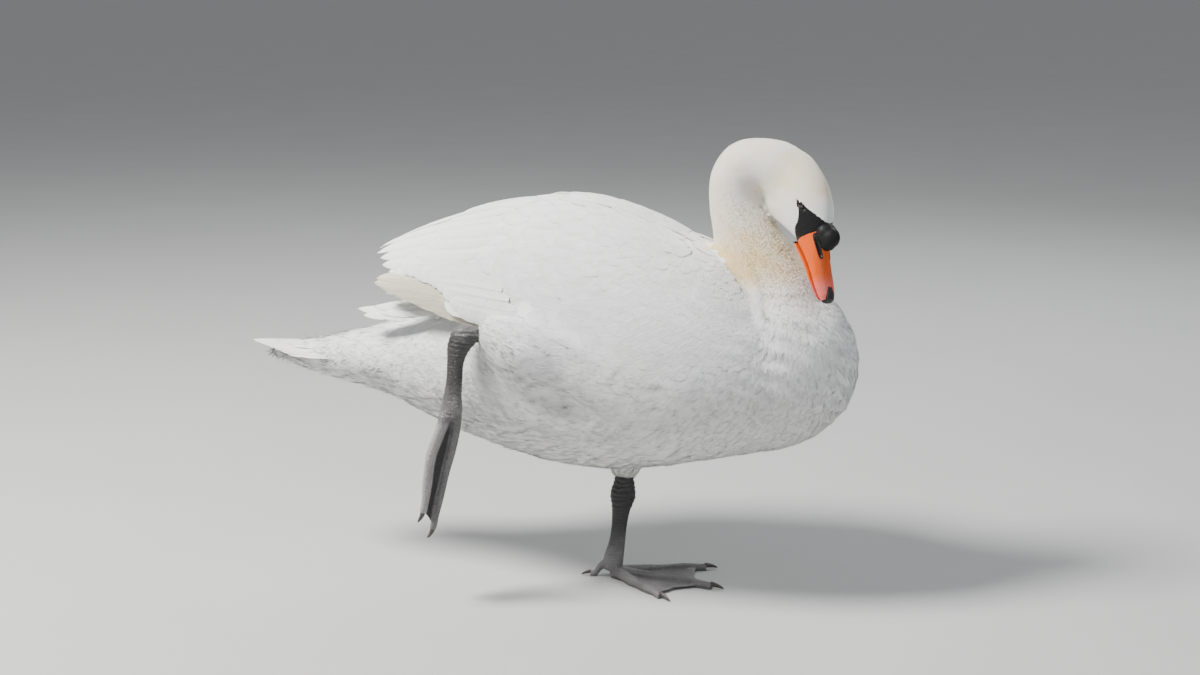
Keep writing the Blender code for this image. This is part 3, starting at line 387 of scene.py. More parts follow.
def remeshed(mesh, voxel, rounds, factor=0.5):
    """Vertices and quads of one closed skin round overlapping lofts."""
    obj = bpy.data.objects.new("form", mesh)
    bpy.context.scene.collection.objects.link(obj)
    m = obj.modifiers.new("form", "REMESH")
    m.mode = "VOXEL"
    m.voxel_size = voxel
    if rounds:
        m = obj.modifiers.new("even", "SMOOTH")
        m.factor = factor
        m.iterations = rounds
    bpy.context.view_layer.update()
    got = bpy.data.meshes.new_from_object(obj.evaluated_get(bpy.context.evaluated_depsgraph_get()))
    bpy.data.objects.remove(obj)
    v = np.empty(len(got.vertices) * 3)
    got.vertices.foreach_get("co", v)
    v = v.reshape(-1, 3)
    n = np.empty(len(got.polygons), int)
    got.polygons.foreach_get("loop_total", n)
    loops = np.empty(len(got.loops), int)
    got.loops.foreach_get("vertex_index", loops)
    if (n == 4).all():
        quads = loops.reshape(-1, 4)
    else:
        starts = np.concatenate([[0], np.cumsum(n)[:-1]])
        quads = np.array([loops[[s, s + 1, s + 2, s + (3 if k > 3 else 2)]] for s, k in zip(starts, n)])
    bpy.data.meshes.remove(got)
    bpy.data.meshes.remove(mesh)
    return largest_island(v, quads)


def largest_island(v, quads):
    label = np.arange(len(v))
    e = np.concatenate([quads[:, [0, 1]], quads[:, [1, 2]], quads[:, [2, 3]], quads[:, [3, 0]]])
    while True:
        low = np.minimum(label[e[:, 0]], label[e[:, 1]])
        new = label.copy()
        np.minimum.at(new, e[:, 0], low)
        np.minimum.at(new, e[:, 1], low)
        new = new[new]
        if (new == label).all():
            break
        label = new
    names, counts = np.unique(label, return_counts=True)
    keep = label == names[counts.argmax()]
    index = np.cumsum(keep) - 1
    q = quads[keep[quads[:, 0]]]
    return v[keep], index[q]


def tris_of(quads):
    return np.concatenate([quads[:, [0, 1, 2]], quads[:, [0, 2, 3]]])


def vertex_normals(v, tris):
    n = np.cross(v[tris[:, 1]] - v[tris[:, 0]], v[tris[:, 2]] - v[tris[:, 0]])
    out = np.zeros_like(v)
    for k in range(3):
        np.add.at(out, tris[:, k], n)
    return unit(out)


def edges_of(quads):
    e = np.concatenate([quads[:, [0, 1]], quads[:, [1, 2]], quads[:, [2, 3]], quads[:, [3, 0]]])
    return e


def averaged(values, e, count, rounds):
    """Values at vertices, evened out along the edges."""
    deg = np.zeros(count)
    np.add.at(deg, e[:, 0], 1.0)
    np.add.at(deg, e[:, 1], 1.0)
    out = values.copy()
    for _ in range(rounds):
        s = np.zeros_like(out)
        np.add.at(s, e[:, 0], out[e[:, 1]])
        np.add.at(s, e[:, 1], out[e[:, 0]])
        out = 0.5 * out + 0.5 * s / (deg[:, None] if out.ndim > 1 else deg)
    return out


class Surface:
    """A triangle surface that feathers are laid on: nearest point and smooth normal for many points at once."""

    def __init__(self, v, tris, normals=None):
        self.v, self.tris = v, tris
        self.n = vertex_normals(v, tris) if normals is None else normals
        self.tree = BVHTree.FromPolygons(v.tolist(), tris.tolist(), all_triangles=True)

    def near(self, p):
        shape = p.shape
        p = p.reshape(-1, 3)
        find = self.tree.find_nearest
        pos = np.empty_like(p)
        face = np.empty(len(p), int)
        for i, q in enumerate(p.tolist()):
            r = find(q)
            pos[i] = r[0]
            face[i] = r[2]
        w, t = self.weights(pos, face)
        n = unit((self.n[t] * w[..., None]).sum(1))
        return pos.reshape(shape), n.reshape(shape), face.reshape(shape[:-1])

    def weights(self, pos, face):
        t = self.tris[face]
        a, b, c = self.v[t[:, 0]], self.v[t[:, 1]], self.v[t[:, 2]]
        v0, v1, v2 = b - a, c - a, pos - a
        d00, d01, d11 = (v0 * v0).sum(1), (v0 * v1).sum(1), (v1 * v1).sum(1)
        d20, d21 = (v2 * v0).sum(1), (v2 * v1).sum(1)
        den = np.maximum(d00 * d11 - d01 * d01, 1e-18)
        wb = (d11 * d20 - d01 * d21) / den
        wc = (d00 * d21 - d01 * d20) / den
        w = np.clip(np.stack([1 - wb - wc, wb, wc], -1), 0, 1)
        return w / w.sum(1, keepdims=True), t

    def value(self, values, pos, face):
        w, t = self.weights(pos, face)
        return (values[t] * (w[..., None] if values.ndim > 1 else w)).sum(1)


def body_lofts():
    return [
        loft_data(upright_rings(TRUNK, 96, 96, 2.15, 2.1)),
        loft_data(ball_rings(np.array(BREAST[:3]), BREAST[3:], 64, 44)),
        loft_data(tube_rings(NECK, 90, 64)),
        loft_data(head_rings(HEAD, 60, 64)),
        loft_data(tube_rings(THIGH_R, 30, 48)),
        loft_data(tube_rings(THIGH_L, 26, 48)),
        loft_data(upright_rings(TAIL, 36, 56)),
    ]


# ================================================================ fields over the bird
def waves(p, seed, size, count=6):
    """A smooth wandering field about 0, with features of the given size in metres."""
    g = np.random.default_rng(seed)
    k = unit(g.normal(size=(count, 3))) * (2 * math.pi / size) * g.uniform(0.6, 1.5, (count, 1))
    return np.sin(p @ k.T + g.uniform(0, 2 * math.pi, count)).sum(-1) * (1.6 / count)


def step(x, lo, hi):
    s = np.clip((x - lo) / (hi - lo), 0, 1)
    return s * s * (3 - 2 * s)


NECK_LINE, NECK_T, NECK_S, NECK_U = tube_frames(NECK, 160)
NECK_TREE = KDTree(len(NECK_LINE))
for i, q in enumerate(NECK_LINE[:, :3]):
    NECK_TREE.insert(q, i)
NECK_TREE.balance()


def neck_coords(p):
    """Place along the neck, 0 at the breast to 1 at the head, how far out (1 at the surface) and angle round it."""
    i = np.array([NECK_TREE.find(q)[1] for q in p.tolist()])
    d = p - NECK_LINE[i, :3]
    s = (d * NECK_S[i]).sum(1)
    u = (d * NECK_U[i]).sum(1)
    along = (d * NECK_T[i]).sum(1)
    rho = np.sqrt((s / NECK_LINE[i, 3]) ** 2 + (u / NECK_LINE[i, 4]) ** 2)
    return i / (len(NECK_LINE) - 1.0), rho, np.arctan2(s, u), along


_HEAD = smooth_rows(HEAD, 300, True)


def head_out(p):
    """How far out from the head's axis, 1 at its surface; large beyond its ends."""
    b, u, r = head_coords(p)
    top, bottom, half = (np.interp(b, _HEAD[:, 0], _HEAD[:, k]) for k in (1, 2, 3))
    rho = np.sqrt((r / half) ** 2 + (u / np.where(u > 0, top, bottom)) ** 2)
    out = np.where((b > 0.190) | (b < 0.078), 9.0, rho)
    return out, b, u, r


LORE = np.array(
    (
        (0.0780, -0.0150), (0.0838, -0.0127), (0.0905, -0.0106), (0.0965, -0.0044), (0.1015, 0.0026), (0.1070, 0.0074), (0.1125, 0.0104), (0.1200, 0.0124),
        (0.1235, 0.0148), (0.1210, 0.0178), (0.1140, 0.0200), (0.1080, 0.0230), (0.1025, 0.0262), (0.0975, 0.0285), (0.0925, 0.0300), (0.0880, 0.0318), (0.0862, 0.0450), (0.0780, 0.0450),
    )
)


def polygon_distance(x, y, poly):
    """Signed distance to a closed polygon, positive inside."""
    a, b = poly, np.roll(poly, -1, axis=0)
    best = np.full(x.shape, 1e9)
    inside = np.zeros(x.shape, bool)
    for (ax, ay), (bx, by) in zip(a, b):
        ex, ey = bx - ax, by - ay
        t = np.clip(((x - ax) * ex + (y - ay) * ey) / (ex * ex + ey * ey), 0, 1)
        best = np.minimum(best, (x - ax - t * ex) ** 2 + (y - ay - t * ey) ** 2)
        cross = (ay > y) != (by > y)
        with np.errstate(divide="ignore", invalid="ignore"):
            inside ^= cross & (x < (bx - ax) * (y - ay) / (by - ay if by != ay else 1e-12) + ax)
    best = np.sqrt(best)
    return np.where(inside, best, -best)


def lore_inside(p):
    """Metres inside the bare black skin between eye and bill, negative outside."""
    out, b, u, r = head_out(p)
    d = polygon_distance(b, u, LORE)
    return np.where(out > 1.8, -0.05, d)


WING_LINE = np.array(
    (
        (0.1300, 0.4740), (0.1460, 0.4610), (0.1600, 0.4580), (0.1760, 0.4470), (0.1910, 0.4320), (0.2020, 0.4170), (0.2110, 0.3980), (0.2170, 0.3780),
        (0.2190, 0.3610), (0.2130, 0.3440), (0.1920, 0.3310), (0.1470, 0.3230), (0.0990, 0.3250), (0.0450, 0.3330), (0.0000, 0.3500), (-0.0500, 0.3680), (-0.0980, 0.3740), (-0.1380, 0.3700), (-0.1720, 0.3800),
    )
)
WING_RISE = np.array((0.0, 0.15, 0.6, 1.0, 1.0, 1.0, 0.8, 0.6, 0.35, 0.15, 0.05, 0.0, 0.0, -0.15, -0.5, -0.9, -1.0, -1.0, -1.0))
WING_SHAPE = np.concatenate([[(0.118, 0.62)], WING_LINE, [(-0.40, 0.40), (-0.40, 0.62)]])


def wing_edge(p):
    """Signed distance in the side view to the folded wing's front and lower edge, positive on the wing, and the edge's rise."""
    x, z = p[:, 0], p[:, 2]
    best = np.full(len(p), 1e9)
    rise = np.zeros(len(p))
    for (a, b, ra, rb) in zip(WING_LINE[:-1], WING_LINE[1:], WING_RISE[:-1], WING_RISE[1:]):
        e = b - a
        t = np.clip(((x - a[0]) * e[0] + (z - a[1]) * e[1]) / (e @ e), 0, 1)
        d = (x - a[0] - t * e[0]) ** 2 + (z - a[1] - t * e[1]) ** 2
        hit = d < best
        best = np.where(hit, d, best)
        rise = np.where(hit, ra + (rb - ra) * t, rise)
    inside = polygon_distance(x, z, WING_SHAPE) > 0
    d = np.sqrt(best)
    return np.where(inside, d, -d), rise


def relief(p):
    """Height added to the form in metres: the wings' edges, the ruffled breast and the flank's lobes."""
    out = np.zeros(len(p))
    x, y, z = p.T
    side = step(np.abs(y), 0.030, 0.060)
    # the wing's edge stands proud in front, and lies under the flank's feathers behind
    near = (np.abs(y) > 0.02) & (z > 0.27)
    d, rise = wing_edge(p[near])
    fall = np.tanh(d / 0.0045) * np.exp(-np.abs(d) / np.where(d > 0, 0.034, 0.022))
    out[near] += np.where(rise < 0, 0.0040, 0.0044) * rise * fall * side[near]
    # ruffles over the breast: rows across the lie of the feathers
    q = p + np.stack([waves(p, 3, 0.060), waves(p, 4, 0.060), waves(p, 5, 0.060)], -1) * 0.006
    front = step(x, 0.150, 0.215) * step(0.415 - z, 0.0, 0.05) * step(z, 0.205, 0.25) * step(0.02 + np.abs(y), 0.0, 0.075)
    along = (q[:, 2] * 0.80 + q[:, 0] * 0.42)
    ridge = np.sin(along * (2 * math.pi / 0.0190))
    out += front * (0.00150 * ridge + 0.0014 * waves(p, 6, 0.06))
    # soft unevenness of the lower breast, belly and flank
    low = step(0.345 - z, 0.0, 0.05) * step(z, 0.14, 0.17)
    out += low * (1 - 0.5 * front) * (0.0014 * waves(p, 7, 0.075) + 0.0006 * waves(p, 8, 0.028))
    # the hollow between thigh and belly on the right, and the lobe of flank feathers over the thigh
    right = step(-y, 0.03, 0.07)
    out -= right * 0.0200 * np.exp(-(((x + 0.020) / 0.048) ** 2 + ((z - 0.264 + 0.35 * (x + 0.02)) / 0.021) ** 2))
    out += right * 0.0110 * np.exp(-(((x + 0.060) / 0.040) ** 2 + ((z - 0.322) / 0.034) ** 2))
    return out


def stain(p):
    """How buff the white is, 0 to 1: strongest round the middle of the neck, fainter on crown and cheeks."""
    t, rho, angle, along = neck_coords(p)
    out, b, u, r = head_out(p)
    neck = np.exp(-(((t - 0.46) / 0.115) ** 2)) * 1.45 + 0.46 * step(t, 0.44, 0.62) * step(1.06 - t, 0.0, 0.25)
    front = step(np.cos(angle), -1.0, 0.9)
    neck = neck * (0.62 + 0.38 * front) * step(0.42 - np.abs(rho - 1.0), 0.0, 0.15) * step(p[:, 2], 0.375, 0.43)
    crown = 0.66 * step(1.45 - out, 0.0, 0.3) * step(b, 0.100, 0.125) * (0.75 + 0.35 * waves(p, 21, 0.03))
    rim = step(u, -0.034, -0.050) * step(b, 0.10, 0.12)
    crown = crown * (1 - 0.85 * rim)
    lower = 0.10 * step(0.33 - p[:, 2], 0.0, 0.12)
    s = np.maximum(neck * (0.86 + 0.20 * waves(p, 22, 0.025)), crown)
    return np.clip(np.maximum(s, lower), 0, 1)


# ================================================================ the form, its lie and the coat's depth
FORM_V, FORM_Q = remeshed(joined_mesh("form", body_lofts()), 0.003, 12)
FORM = Surface(FORM_V, tris_of(FORM_Q))
MANTLE_LOFT = loft_data(upright_rings([(x, top, mid - 0.012, half, mid, groove) for x, top, half, mid, groove in MANTLE], 110, 96, 2.15, 2.15))
WING_V, WING_Q = remeshed(joined_mesh("wing", body_lofts() + [MANTLE_LOFT]), 0.003, 12)
WINGS = Surface(WING_V, tris_of(WING_Q))


def guides():
    pts, way = [], []

    def add(p, d):
        for side in ((1, -1) if abs(p[1]) > 1e-6 else (1,)):
            pts.append((p[0], p[1] * side, p[2]))
            way.append((d[0], d[1] * side, d[2]))

    for p, d in (
        ((0.330, 0, 0.330), (0.10, 0, -1)), ((0.322, 0, 0.265), (-0.45, 0, -0.9)), ((0.285, 0, 0.215), (-0.9, 0, -0.45)), ((0.20, 0, 0.185), (-1, 0, -0.12)),
        ((0.10, 0, 0.165), (-1, 0, -0.02)), ((0.0, 0, 0.157), (-1, 0, 0.03)), ((-0.10, 0, 0.178), (-1, 0, 0.15)), ((-0.20, 0, 0.205), (-1, 0, 0.22)), ((-0.35, 0, 0.252), (-1, 0, 0.18)), ((-0.43, 0, 0.275), (-1, 0, 0.1)),
        ((0.275, 0.09, 0.340), (-0.40, 0.1, -0.9)), ((0.265, 0.10, 0.27), (-0.72, 0.1, -0.62)), ((0.20, 0.13, 0.32), (-0.85, 0.1, -0.5)), ((0.19, 0.12, 0.24), (-0.95, 0.0, -0.28)),
        ((0.10, 0.15, 0.31), (-0.97, 0, -0.2)), ((0.08, 0.13, 0.22), (-1, 0, -0.08)), ((0.0, 0.15, 0.31), (-0.97, 0, -0.2)), ((-0.02, 0.12, 0.21), (-1, 0, 0.05)),
        ((-0.10, 0.14, 0.28), (-1, 0, 0.05)), ((-0.12, 0.09, 0.20), (-1, 0, 0.12)), ((-0.20, 0.10, 0.29), (-1, 0, 0.02)), ((-0.30, 0.055, 0.29), (-1, 0, 0.02)), ((-0.40, 0.03, 0.288), (-1, 0, 0.05)),
        ((-0.20, 0.0, 0.362), (-1, 0, -0.2)), ((-0.30, 0, 0.322), (-1, 0, -0.25)), ((-0.42, 0, 0.294), (-1, 0, -0.15)),
        ((0.15, 0.10, 0.40), (-0.95, 0, 0.05)), ((0.19, 0.10, 0.38), (-0.9, 0, -0.2)), ((0.10, 0.05, 0.46), (-1, 0, 0.35)), ((0.0, 0.05, 0.498), (-1, 0, 0.05)), ((-0.08, 0.05, 0.495), (-1, 0, -0.1)), ((-0.2, 0.05, 0.47), (-1, 0, -0.3)),
        ((0.13, 0.0, 0.447), (-1, 0, 0.4)), ((0.05, 0, 0.485), (-1, 0, 0.3)), ((0.0, 0.14, 0.38), (-1, 0, 0.12)), ((-0.12, 0.12, 0.40), (-1, 0, 0.08)),
    ):
        add(p, d)
    # the drawn-back right thigh and the standing left one
    for rows, n in ((THIGH_R, 5), (THIGH_L, 5)):
        fine, t, s, u = tube_frames(rows, n)
        for k in range(1, n):
            for a in range(6):
                c, sn = math.cos(a * math.pi / 3), math.sin(a * math.pi / 3)
                pts.append(fine[k, :3] + s[k] * c * fine[k, 3] + u[k] * sn * fine[k, 4])
                way.append(t[k])
    fine, t, s, u = tube_frames(NECK, 26)
    for k in range(7, 26):
        for a in range(8):
            c, sn = math.cos(a * math.pi / 4), math.sin(a * math.pi / 4)
            pts.append(fine[k, :3] + s[k] * c * fine[k, 3] + u[k] * sn * fine[k, 4])
            way.append(-t[k])
    for r in smooth_rows(HEAD, 9, True)[:7]:
        for a in range(8):
            c, sn = math.cos(a * math.pi / 4), math.sin(a * math.pi / 4)
            pts.append(TIP - H_LONG * r[0] + H_RIGHT * c * r[3] + H_UP * sn * (r[1] if sn > 0 else r[2]))
            way.append(-H_LONG)
    return np.array([tuple(p) for p in pts]), unit(np.array([tuple(w) for w in way]))


GUIDE_P, GUIDE_D = guides()


def lie_of(v, normals, quads):
    """The lie of the feathers at the vertices of a form: a smooth tangent field through the guides."""
    out = np.zeros_like(v)
    for start in range(0, len(v), 20000):
        d = ((v[start : start + 20000, None] - GUIDE_P[None]) ** 2).sum(-1)
        w = 1.0 / (d + 2e-5) ** 1.6
        out[start : start + 20000] = w @ GUIDE_D
    out = unit(out)
    out -= normals * (out * normals).sum(1, keepdims=True)
    out = unit(out)
    e = edges_of(quads)
    out = averaged(out, e, len(v), 14)
    out -= normals * (out * normals).sum(1, keepdims=True)
    return unit(out)


FORM_LIE = lie_of(FORM_V, FORM.n, FORM_Q)
WING_LIE = lie_of(WING_V, WINGS.n, WING_Q)


# ================================================================ meshes and unwrap
def spine_uv(p):
    """An unwrap of the bird's own shape: along the spine and round it, with the body, neck and head side by side."""
    t, rho, angle, along = neck_coords(p)
    out, b, u, r = head_out(p)
    x, y, z = p.T
    mid = np.interp(x, (-0.47, -0.2, 0.1, 0.3), (0.288, 0.30, 0.32, 0.30))
    body_u = 0.01 + 0.55 * np.clip((x + 0.48) / 0.83, 0, 1)
    body_v = 0.5 + np.arctan2(y, z - mid) / (2 * math.pi)
    neck_u = 0.58 + 0.25 * t
    neck_v = 0.5 + angle / (2 * math.pi)
    head_u = 0.85 + 0.14 * np.clip((b - 0.07) / 0.13, 0, 1)
    head_v = 0.5 + np.arctan2(r, u) / (2 * math.pi)
    is_head = (np.abs(out - 1) < np.abs(rho - 1) + 0.08) & (out < 1.6)
    is_neck = ~is_head & (t > 0.22) & (rho < 1.5)
    uu = np.where(is_head, head_u, np.where(is_neck, neck_u, body_u))
    vv = np.where(is_head, head_v, np.where(is_neck, neck_v, body_v))
    return np.stack([np.clip(uu, 0.004, 0.996), 0.004 + 0.992 * np.clip(vv, 0, 1)], -1)


MADE = []


def piece(name, verts, tris, attrs=None, bake=None, vane=None, mats=(), mat_index=None, smooth=True, replaces=(), normals=None):
    """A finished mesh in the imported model's frame, riding on the bird."""
    tris = np.ascontiguousarray(tris, dtype=np.int32)
    mesh = bpy.data.meshes.new(name)
    n, m = len(verts), len(tris)
    mesh.vertices.add(n)
    mesh.vertices.foreach_set("co", (verts + SHIFT).astype(np.float32).ravel())
    mesh.loops.add(3 * m)
    mesh.loops.foreach_set("vertex_index", tris.ravel())
    mesh.polygons.add(m)
    mesh.polygons.foreach_set("loop_start", np.arange(0, 3 * m, 3, dtype=np.int32))
    mesh.update(calc_edges=True)
    mesh.polygons.foreach_set("use_smooth", np.full(m, smooth))
    for key, values in (attrs or {}).items():
        a = mesh.attributes.new(key, "FLOAT", "POINT")
        a.data.foreach_set("value", values.astype(np.float32))
    loops = tris.ravel()
    for key, uv in (("OFBake", bake), ("Vane", vane)):
        if uv is not None:
            layer = mesh.uv_layers.new(name=key, do_init=False)
            layer.uv.foreach_set("vector", uv[loops].astype(np.float32).ravel())
    for mat in mats:
        mesh.materials.append(mat)
    if normals is not None:
        mesh.normals_split_custom_set_from_vertices(unit(normals).astype(np.float32))
    if mat_index is not None:
        mesh.polygons.foreach_set("material_index", mat_index.astype(np.int32))
    obj = bpy.data.objects.new(name, mesh)
    bpy.context.scene.collection.objects.link(obj)
    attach(obj, "root")
    if replaces:
        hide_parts(*replaces)
    MADE.append(obj)
    return obj


class Batch:
    """Collects many small closed bodies for one piece."""

    def __init__(self):
        self.v, self.t, self.at, self.uv, self.vane, self.n, self.count = [], [], {}, [], [], [], 0

    def add(self, verts, tris, uv, vane, soft=None, **attrs):
        n = verts.reshape(-1, 3).shape[0]
        self.v.append(verts.reshape(-1, 3))
        self.t.append(tris.reshape(-1, 3) + self.count)
        self.uv.append(uv.reshape(-1, 2))
        self.vane.append(vane.reshape(-1, 2))
        if soft is not None:
            self.n.append(soft.reshape(-1, 3))
        for key, value in attrs.items():
            self.at.setdefault(key, []).append(np.broadcast_to(value, n) if np.ndim(value) == 0 else value.reshape(-1))
        self.count += n

    def faces(self):
        return sum(len(t) for t in self.t)

    def make(self, name, mats, replaces=()):
        at = {k: np.concatenate(v) for k, v in self.at.items()}
        obj = piece(name, np.concatenate(self.v), np.concatenate(self.t), at, np.concatenate(self.uv), np.concatenate(self.vane), mats, replaces=replaces, normals=np.concatenate(self.n) if self.n else None)
        print(name, self.faces(), "triangles")
        return obj


def scatter(surface, keep, spacing, density, seed):
    """Even points over a surface: keep and spacing are functions of points; returns points, normals and faces."""
    g = np.random.default_rng(seed)
    v, t = surface.v, surface.tris
    mid = v[t].mean(1)
    ok = keep(mid)
    t_id = np.nonzero(ok)[0]
    a = 0.5 * np.linalg.norm(np.cross(v[t[t_id, 1]] - v[t[t_id, 0]], v[t[t_id, 2]] - v[t[t_id, 0]]), axis=1)
    want = a / spacing(mid[t_id]) ** 2
    total = int(want.sum() * density)
    pick = g.choice(len(t_id), size=total, p=want / want.sum())
    r1, r2 = np.sqrt(g.random(total)), g.random(total)
    tri = t[t_id[pick]]
    w = np.stack([1 - r1, r1 * (1 - r2), r1 * r2], -1)
    p = (v[tri] * w[..., None]).sum(1)
    n = unit((surface.n[tri] * w[..., None]).sum(1))
    s = spacing(p)
    cell = float(s.max())
    keys = np.floor(p / cell).astype(int)
    grid, chosen = {}, []
    pl, sl, kl = p.tolist(), s.tolist(), keys.tolist()
    near = [(i, j, k) for i in (-1, 0, 1) for j in (-1, 0, 1) for k in (-1, 0, 1)]
    for i in range(total):
        x, y, z = pl[i]
        a, b, c = kl[i]
        r = sl[i]
        free = True
        for (da, db, dc) in near:
            for q in grid.get((a + da, b + db, c + dc), ()):
                qx, qy, qz, qr = q
                m = r if r < qr else qr
                if (x - qx) ** 2 + (y - qy) ** 2 + (z - qz) ** 2 < m * m:
                    free = False
                    break
            if not free:
                break
        if free:
            grid.setdefault((a, b, c), []).append((x, y, z, r))
            chosen.append(i)
    chosen = np.array(chosen)
    tri_id = t_id[pick][chosen]
    return p[chosen], n[chosen], tri_id, w[chosen]


def grid_tris(count, rows, cols, flip=False):
    """Triangles of count sheets of rows by cols points."""
    r, c = np.meshgrid(np.arange(rows - 1), np.arange(cols - 1), indexing="ij")
    a = (r * cols + c).ravel()
    b, d, e = a + 1, a + cols, a + cols + 1
    t = np.concatenate([np.stack([a, b, e], -1), np.stack([a, e, d], -1)])
    if not flip:
        t = t[:, ::-1]
    return (t[None] + (np.arange(count) * rows * cols)[:, None, None]).reshape(-1, 3)


def vanes(surface, p, n, way, length, width, rows_u, rows_w, cols, root_sink, tip_lift, camber, roll, bend, lift_at=None, follow=1.0):
    """Top sheets of feathers laid along a surface: points (count, rows, cols, 3) and normals for each row."""
    count, m = len(p), len(rows_u)
    centre = np.empty((count, m, 3))
    normal = np.empty((count, m, 3))
    side = np.empty((count, m, 3))
    q, nn, t = p.copy(), n.copy(), way.copy()
    for i, u in enumerate(rows_u):
        if i:
            ds = (u - rows_u[i - 1]) * length
            t = unit(t + np.cross(nn, t) * (bend * (u - rows_u[i - 1]))[:, None])
            guess = q + t * ds[:, None]
            pos, nn2, _ = surface.near(guess)
            if follow < 1.0:
                pos = guess * (1 - follow) + pos * follow
            t = pos - q
            t = unit(t - nn2 * (t * nn2).sum(1, keepdims=True))
            q, nn = pos, nn2
        centre[:, i], normal[:, i] = q, nn
        side[:, i] = np.cross(nn, t)
    half = 0.5 * width[:, None] * np.asarray(rows_w)[None]
    left = centre - side * half[..., None]
    right = centre + side * half[..., None]
    lp, ln, _ = surface.near(left)
    rp, rn, _ = surface.near(right)
    if follow < 1.0:
        lp, rp = left * (1 - follow) + lp * follow, right * (1 - follow) + rp * follow
    j = np.linspace(-1, 1, cols)
    top = centre[:, :, None] + j[:, None] * ((rp - lp) / 2)[:, :, None] + (j**2)[:, None] * ((rp + lp) / 2 - centre)[:, :, None]
    nj = unit(normal[:, :, None] * (1 - j**2)[:, None] + (j**2)[:, None] * np.where(j[:, None] < 0, ln[:, :, None], rn[:, :, None]))
    u = np.asarray(rows_u)[None, :, None]
    swell = np.sin(np.pi * np.clip(u, 0, 1)) ** 0.6
    h = -root_sink[:, None, None] * (1 - u) ** 1.3 + tip_lift[:, None, None] * u**1.4 + camber[:, None, None] * (1 - j**2) * swell + roll[:, None, None] * j * u
    if lift_at is not None:
        h = h + lift_at(top.reshape(-1, 3)).reshape(top.shape[:-1])
    top = top + nj * h[..., None]
    own = np.cross(np.gradient(top, axis=1), np.gradient(top, axis=2))
    own = unit(own * np.sign((own * nj).sum(-1, keepdims=True) + 1e-12))
    return top, normal, nj, own


def add_vanes(batch, top, soft, uv0, length, width, rows_u, **attrs):
    """Closes feather sheets with an underside and puts them in a batch."""
    count, m, c = top.shape[:3]
    under = top[:, :, [0, -1]].copy()
    u = np.broadcast_to(np.asarray(rows_u)[None, :, None], (count, m, c))
    j = np.broadcast_to(np.linspace(-1, 1, c)[None, None], (count, m, c))
    patch = np.stack([(u - 0.5), j * 0.5], -1) * 0.003
    for part, cu, flip in ((top, c, False), (under, 2, True)):
        k = [0, -1] if part is under else slice(None)
        uv = uv0[:, None, None] + patch[:, :, k]
        vane = np.stack([u[:, :, k] * length[:, None, None], j[:, :, k] * 0.5 * width[:, None, None]], -1) * 10.0
        at = {key: np.broadcast_to(np.asarray(v)[:, None, None], part.shape[:3]) if np.ndim(v) == 1 else v[:, :, k] for key, v in attrs.items()}
        at["along"] = u[:, :, k]
        batch.add(part, grid_tris(count, m, cu, flip), uv, vane, soft=soft if part is not under else -soft[:, :, k], **at)


def add_barbs(batch, top, n, count_each, size, uv0, g, spread=0.55, **attrs):
    """Fine loose barb ends along the outer margin of each feather: slim closed spikes."""
    count, m, c = top.shape[:3]
    phi = (np.linspace(-1, 1, count_each)[None] + g.uniform(-0.10, 0.10, (count, count_each))).clip(-1, 1)
    u = 1 - spread * np.abs(phi) ** 1.3
    f = u * (m - 1)
    f = np.interp(u, attrs.pop("rows_u"), np.arange(m))
    i0 = np.clip(f.astype(int), 0, m - 2)
    w = (f - i0)[..., None]
    k = np.arange(count)[:, None]

    def at(col):
        return top[k, i0, col] * (1 - w) + top[k, i0 + 1, col] * w

    mid, edge = at(c // 2), np.where((phi < 0)[..., None], at(0), at(c - 1))
    base = mid + (edge - mid) * np.clip(np.abs(phi) * 1.25, 0, 0.97)[..., None]
    along = unit(top[:, -1, c // 2] - top[:, -2, c // 2])[:, None]
    out = unit(edge - mid)
    nn = n[:, None]
    way = unit(along * (1 - 0.35 * np.abs(phi))[..., None] + out * (0.50 * np.abs(phi))[..., None] + nn * g.uniform(-0.05, 0.05, (count, count_each))[..., None] + g.normal(0, 0.12, (count, count_each, 3)))
    size = size[:, None] * g.uniform(0.55, 1.25, (count, count_each))
    cross = unit(np.cross(nn, way))
    hw = (0.00026 + 0.012 * size)[..., None]
    a = base - way * 0.0012 - cross * hw
    b = base - way * 0.0012 + cross * hw
    d = base - way * 0.0012 - nn * hw * 0.9
    tip = base + way * size[..., None]
    v = np.stack([a, b, d, tip], 2)
    t = np.array([(0, 3, 1), (1, 3, 2), (2, 3, 0), (0, 1, 2)])
    tris = (t[None] + (np.arange(count * count_each) * 4)[:, None, None]).reshape(-1, 3)
    uv = np.broadcast_to(uv0[:, None, None], (count, count_each, 4, 2)) + np.array([(0.0008, -0.0004), (0.0008, 0.0004), (0.0005, 0), (0.0015, 0)])
    vane = np.zeros((count, count_each, 4, 2))
    extra = {key: np.broadcast_to(np.asarray(val)[:, None, None], (count, count_each, 4)) for key, val in attrs.items()}
    soft = np.broadcast_to(nn[:, :, None], v.shape) + g.normal(0, 0.05, (count, count_each, 1, 3))
    batch.add(v, tris, uv, vane, soft=soft, along=np.full((count, count_each, 4), 0.9), **extra)


# ================================================================ materials
def new_material(name):
    m = bpy.data.materials.new(name)
    m.use_nodes = True
    nt = m.node_tree
    return m, nt, nt.nodes["Principled BSDF"], nt.nodes, nt.links


def attribute(nodes, name):
    a = nodes.new("ShaderNodeAttribute")
    a.attribute_type = "GEOMETRY"
    a.attribute_name = name
    return a.outputs["Fac"]


def mix_colour(nodes, links, fac, a, b, mode="MIX"):
    n = nodes.new("ShaderNodeMix")
    n.data_type = "RGBA"
    n.blend_type = mode
    for socket, value in ((n.inputs["Factor"], fac), (n.inputs["A"], a), (n.inputs["B"], b)):
        if isinstance(value, (tuple, list)):
            socket.default_value = (*value, 1.0)
        elif isinstance(value, (int, float)):
            socket.default_value = value
        else:
            links.new(value, socket)
    return n.outputs["Result"]


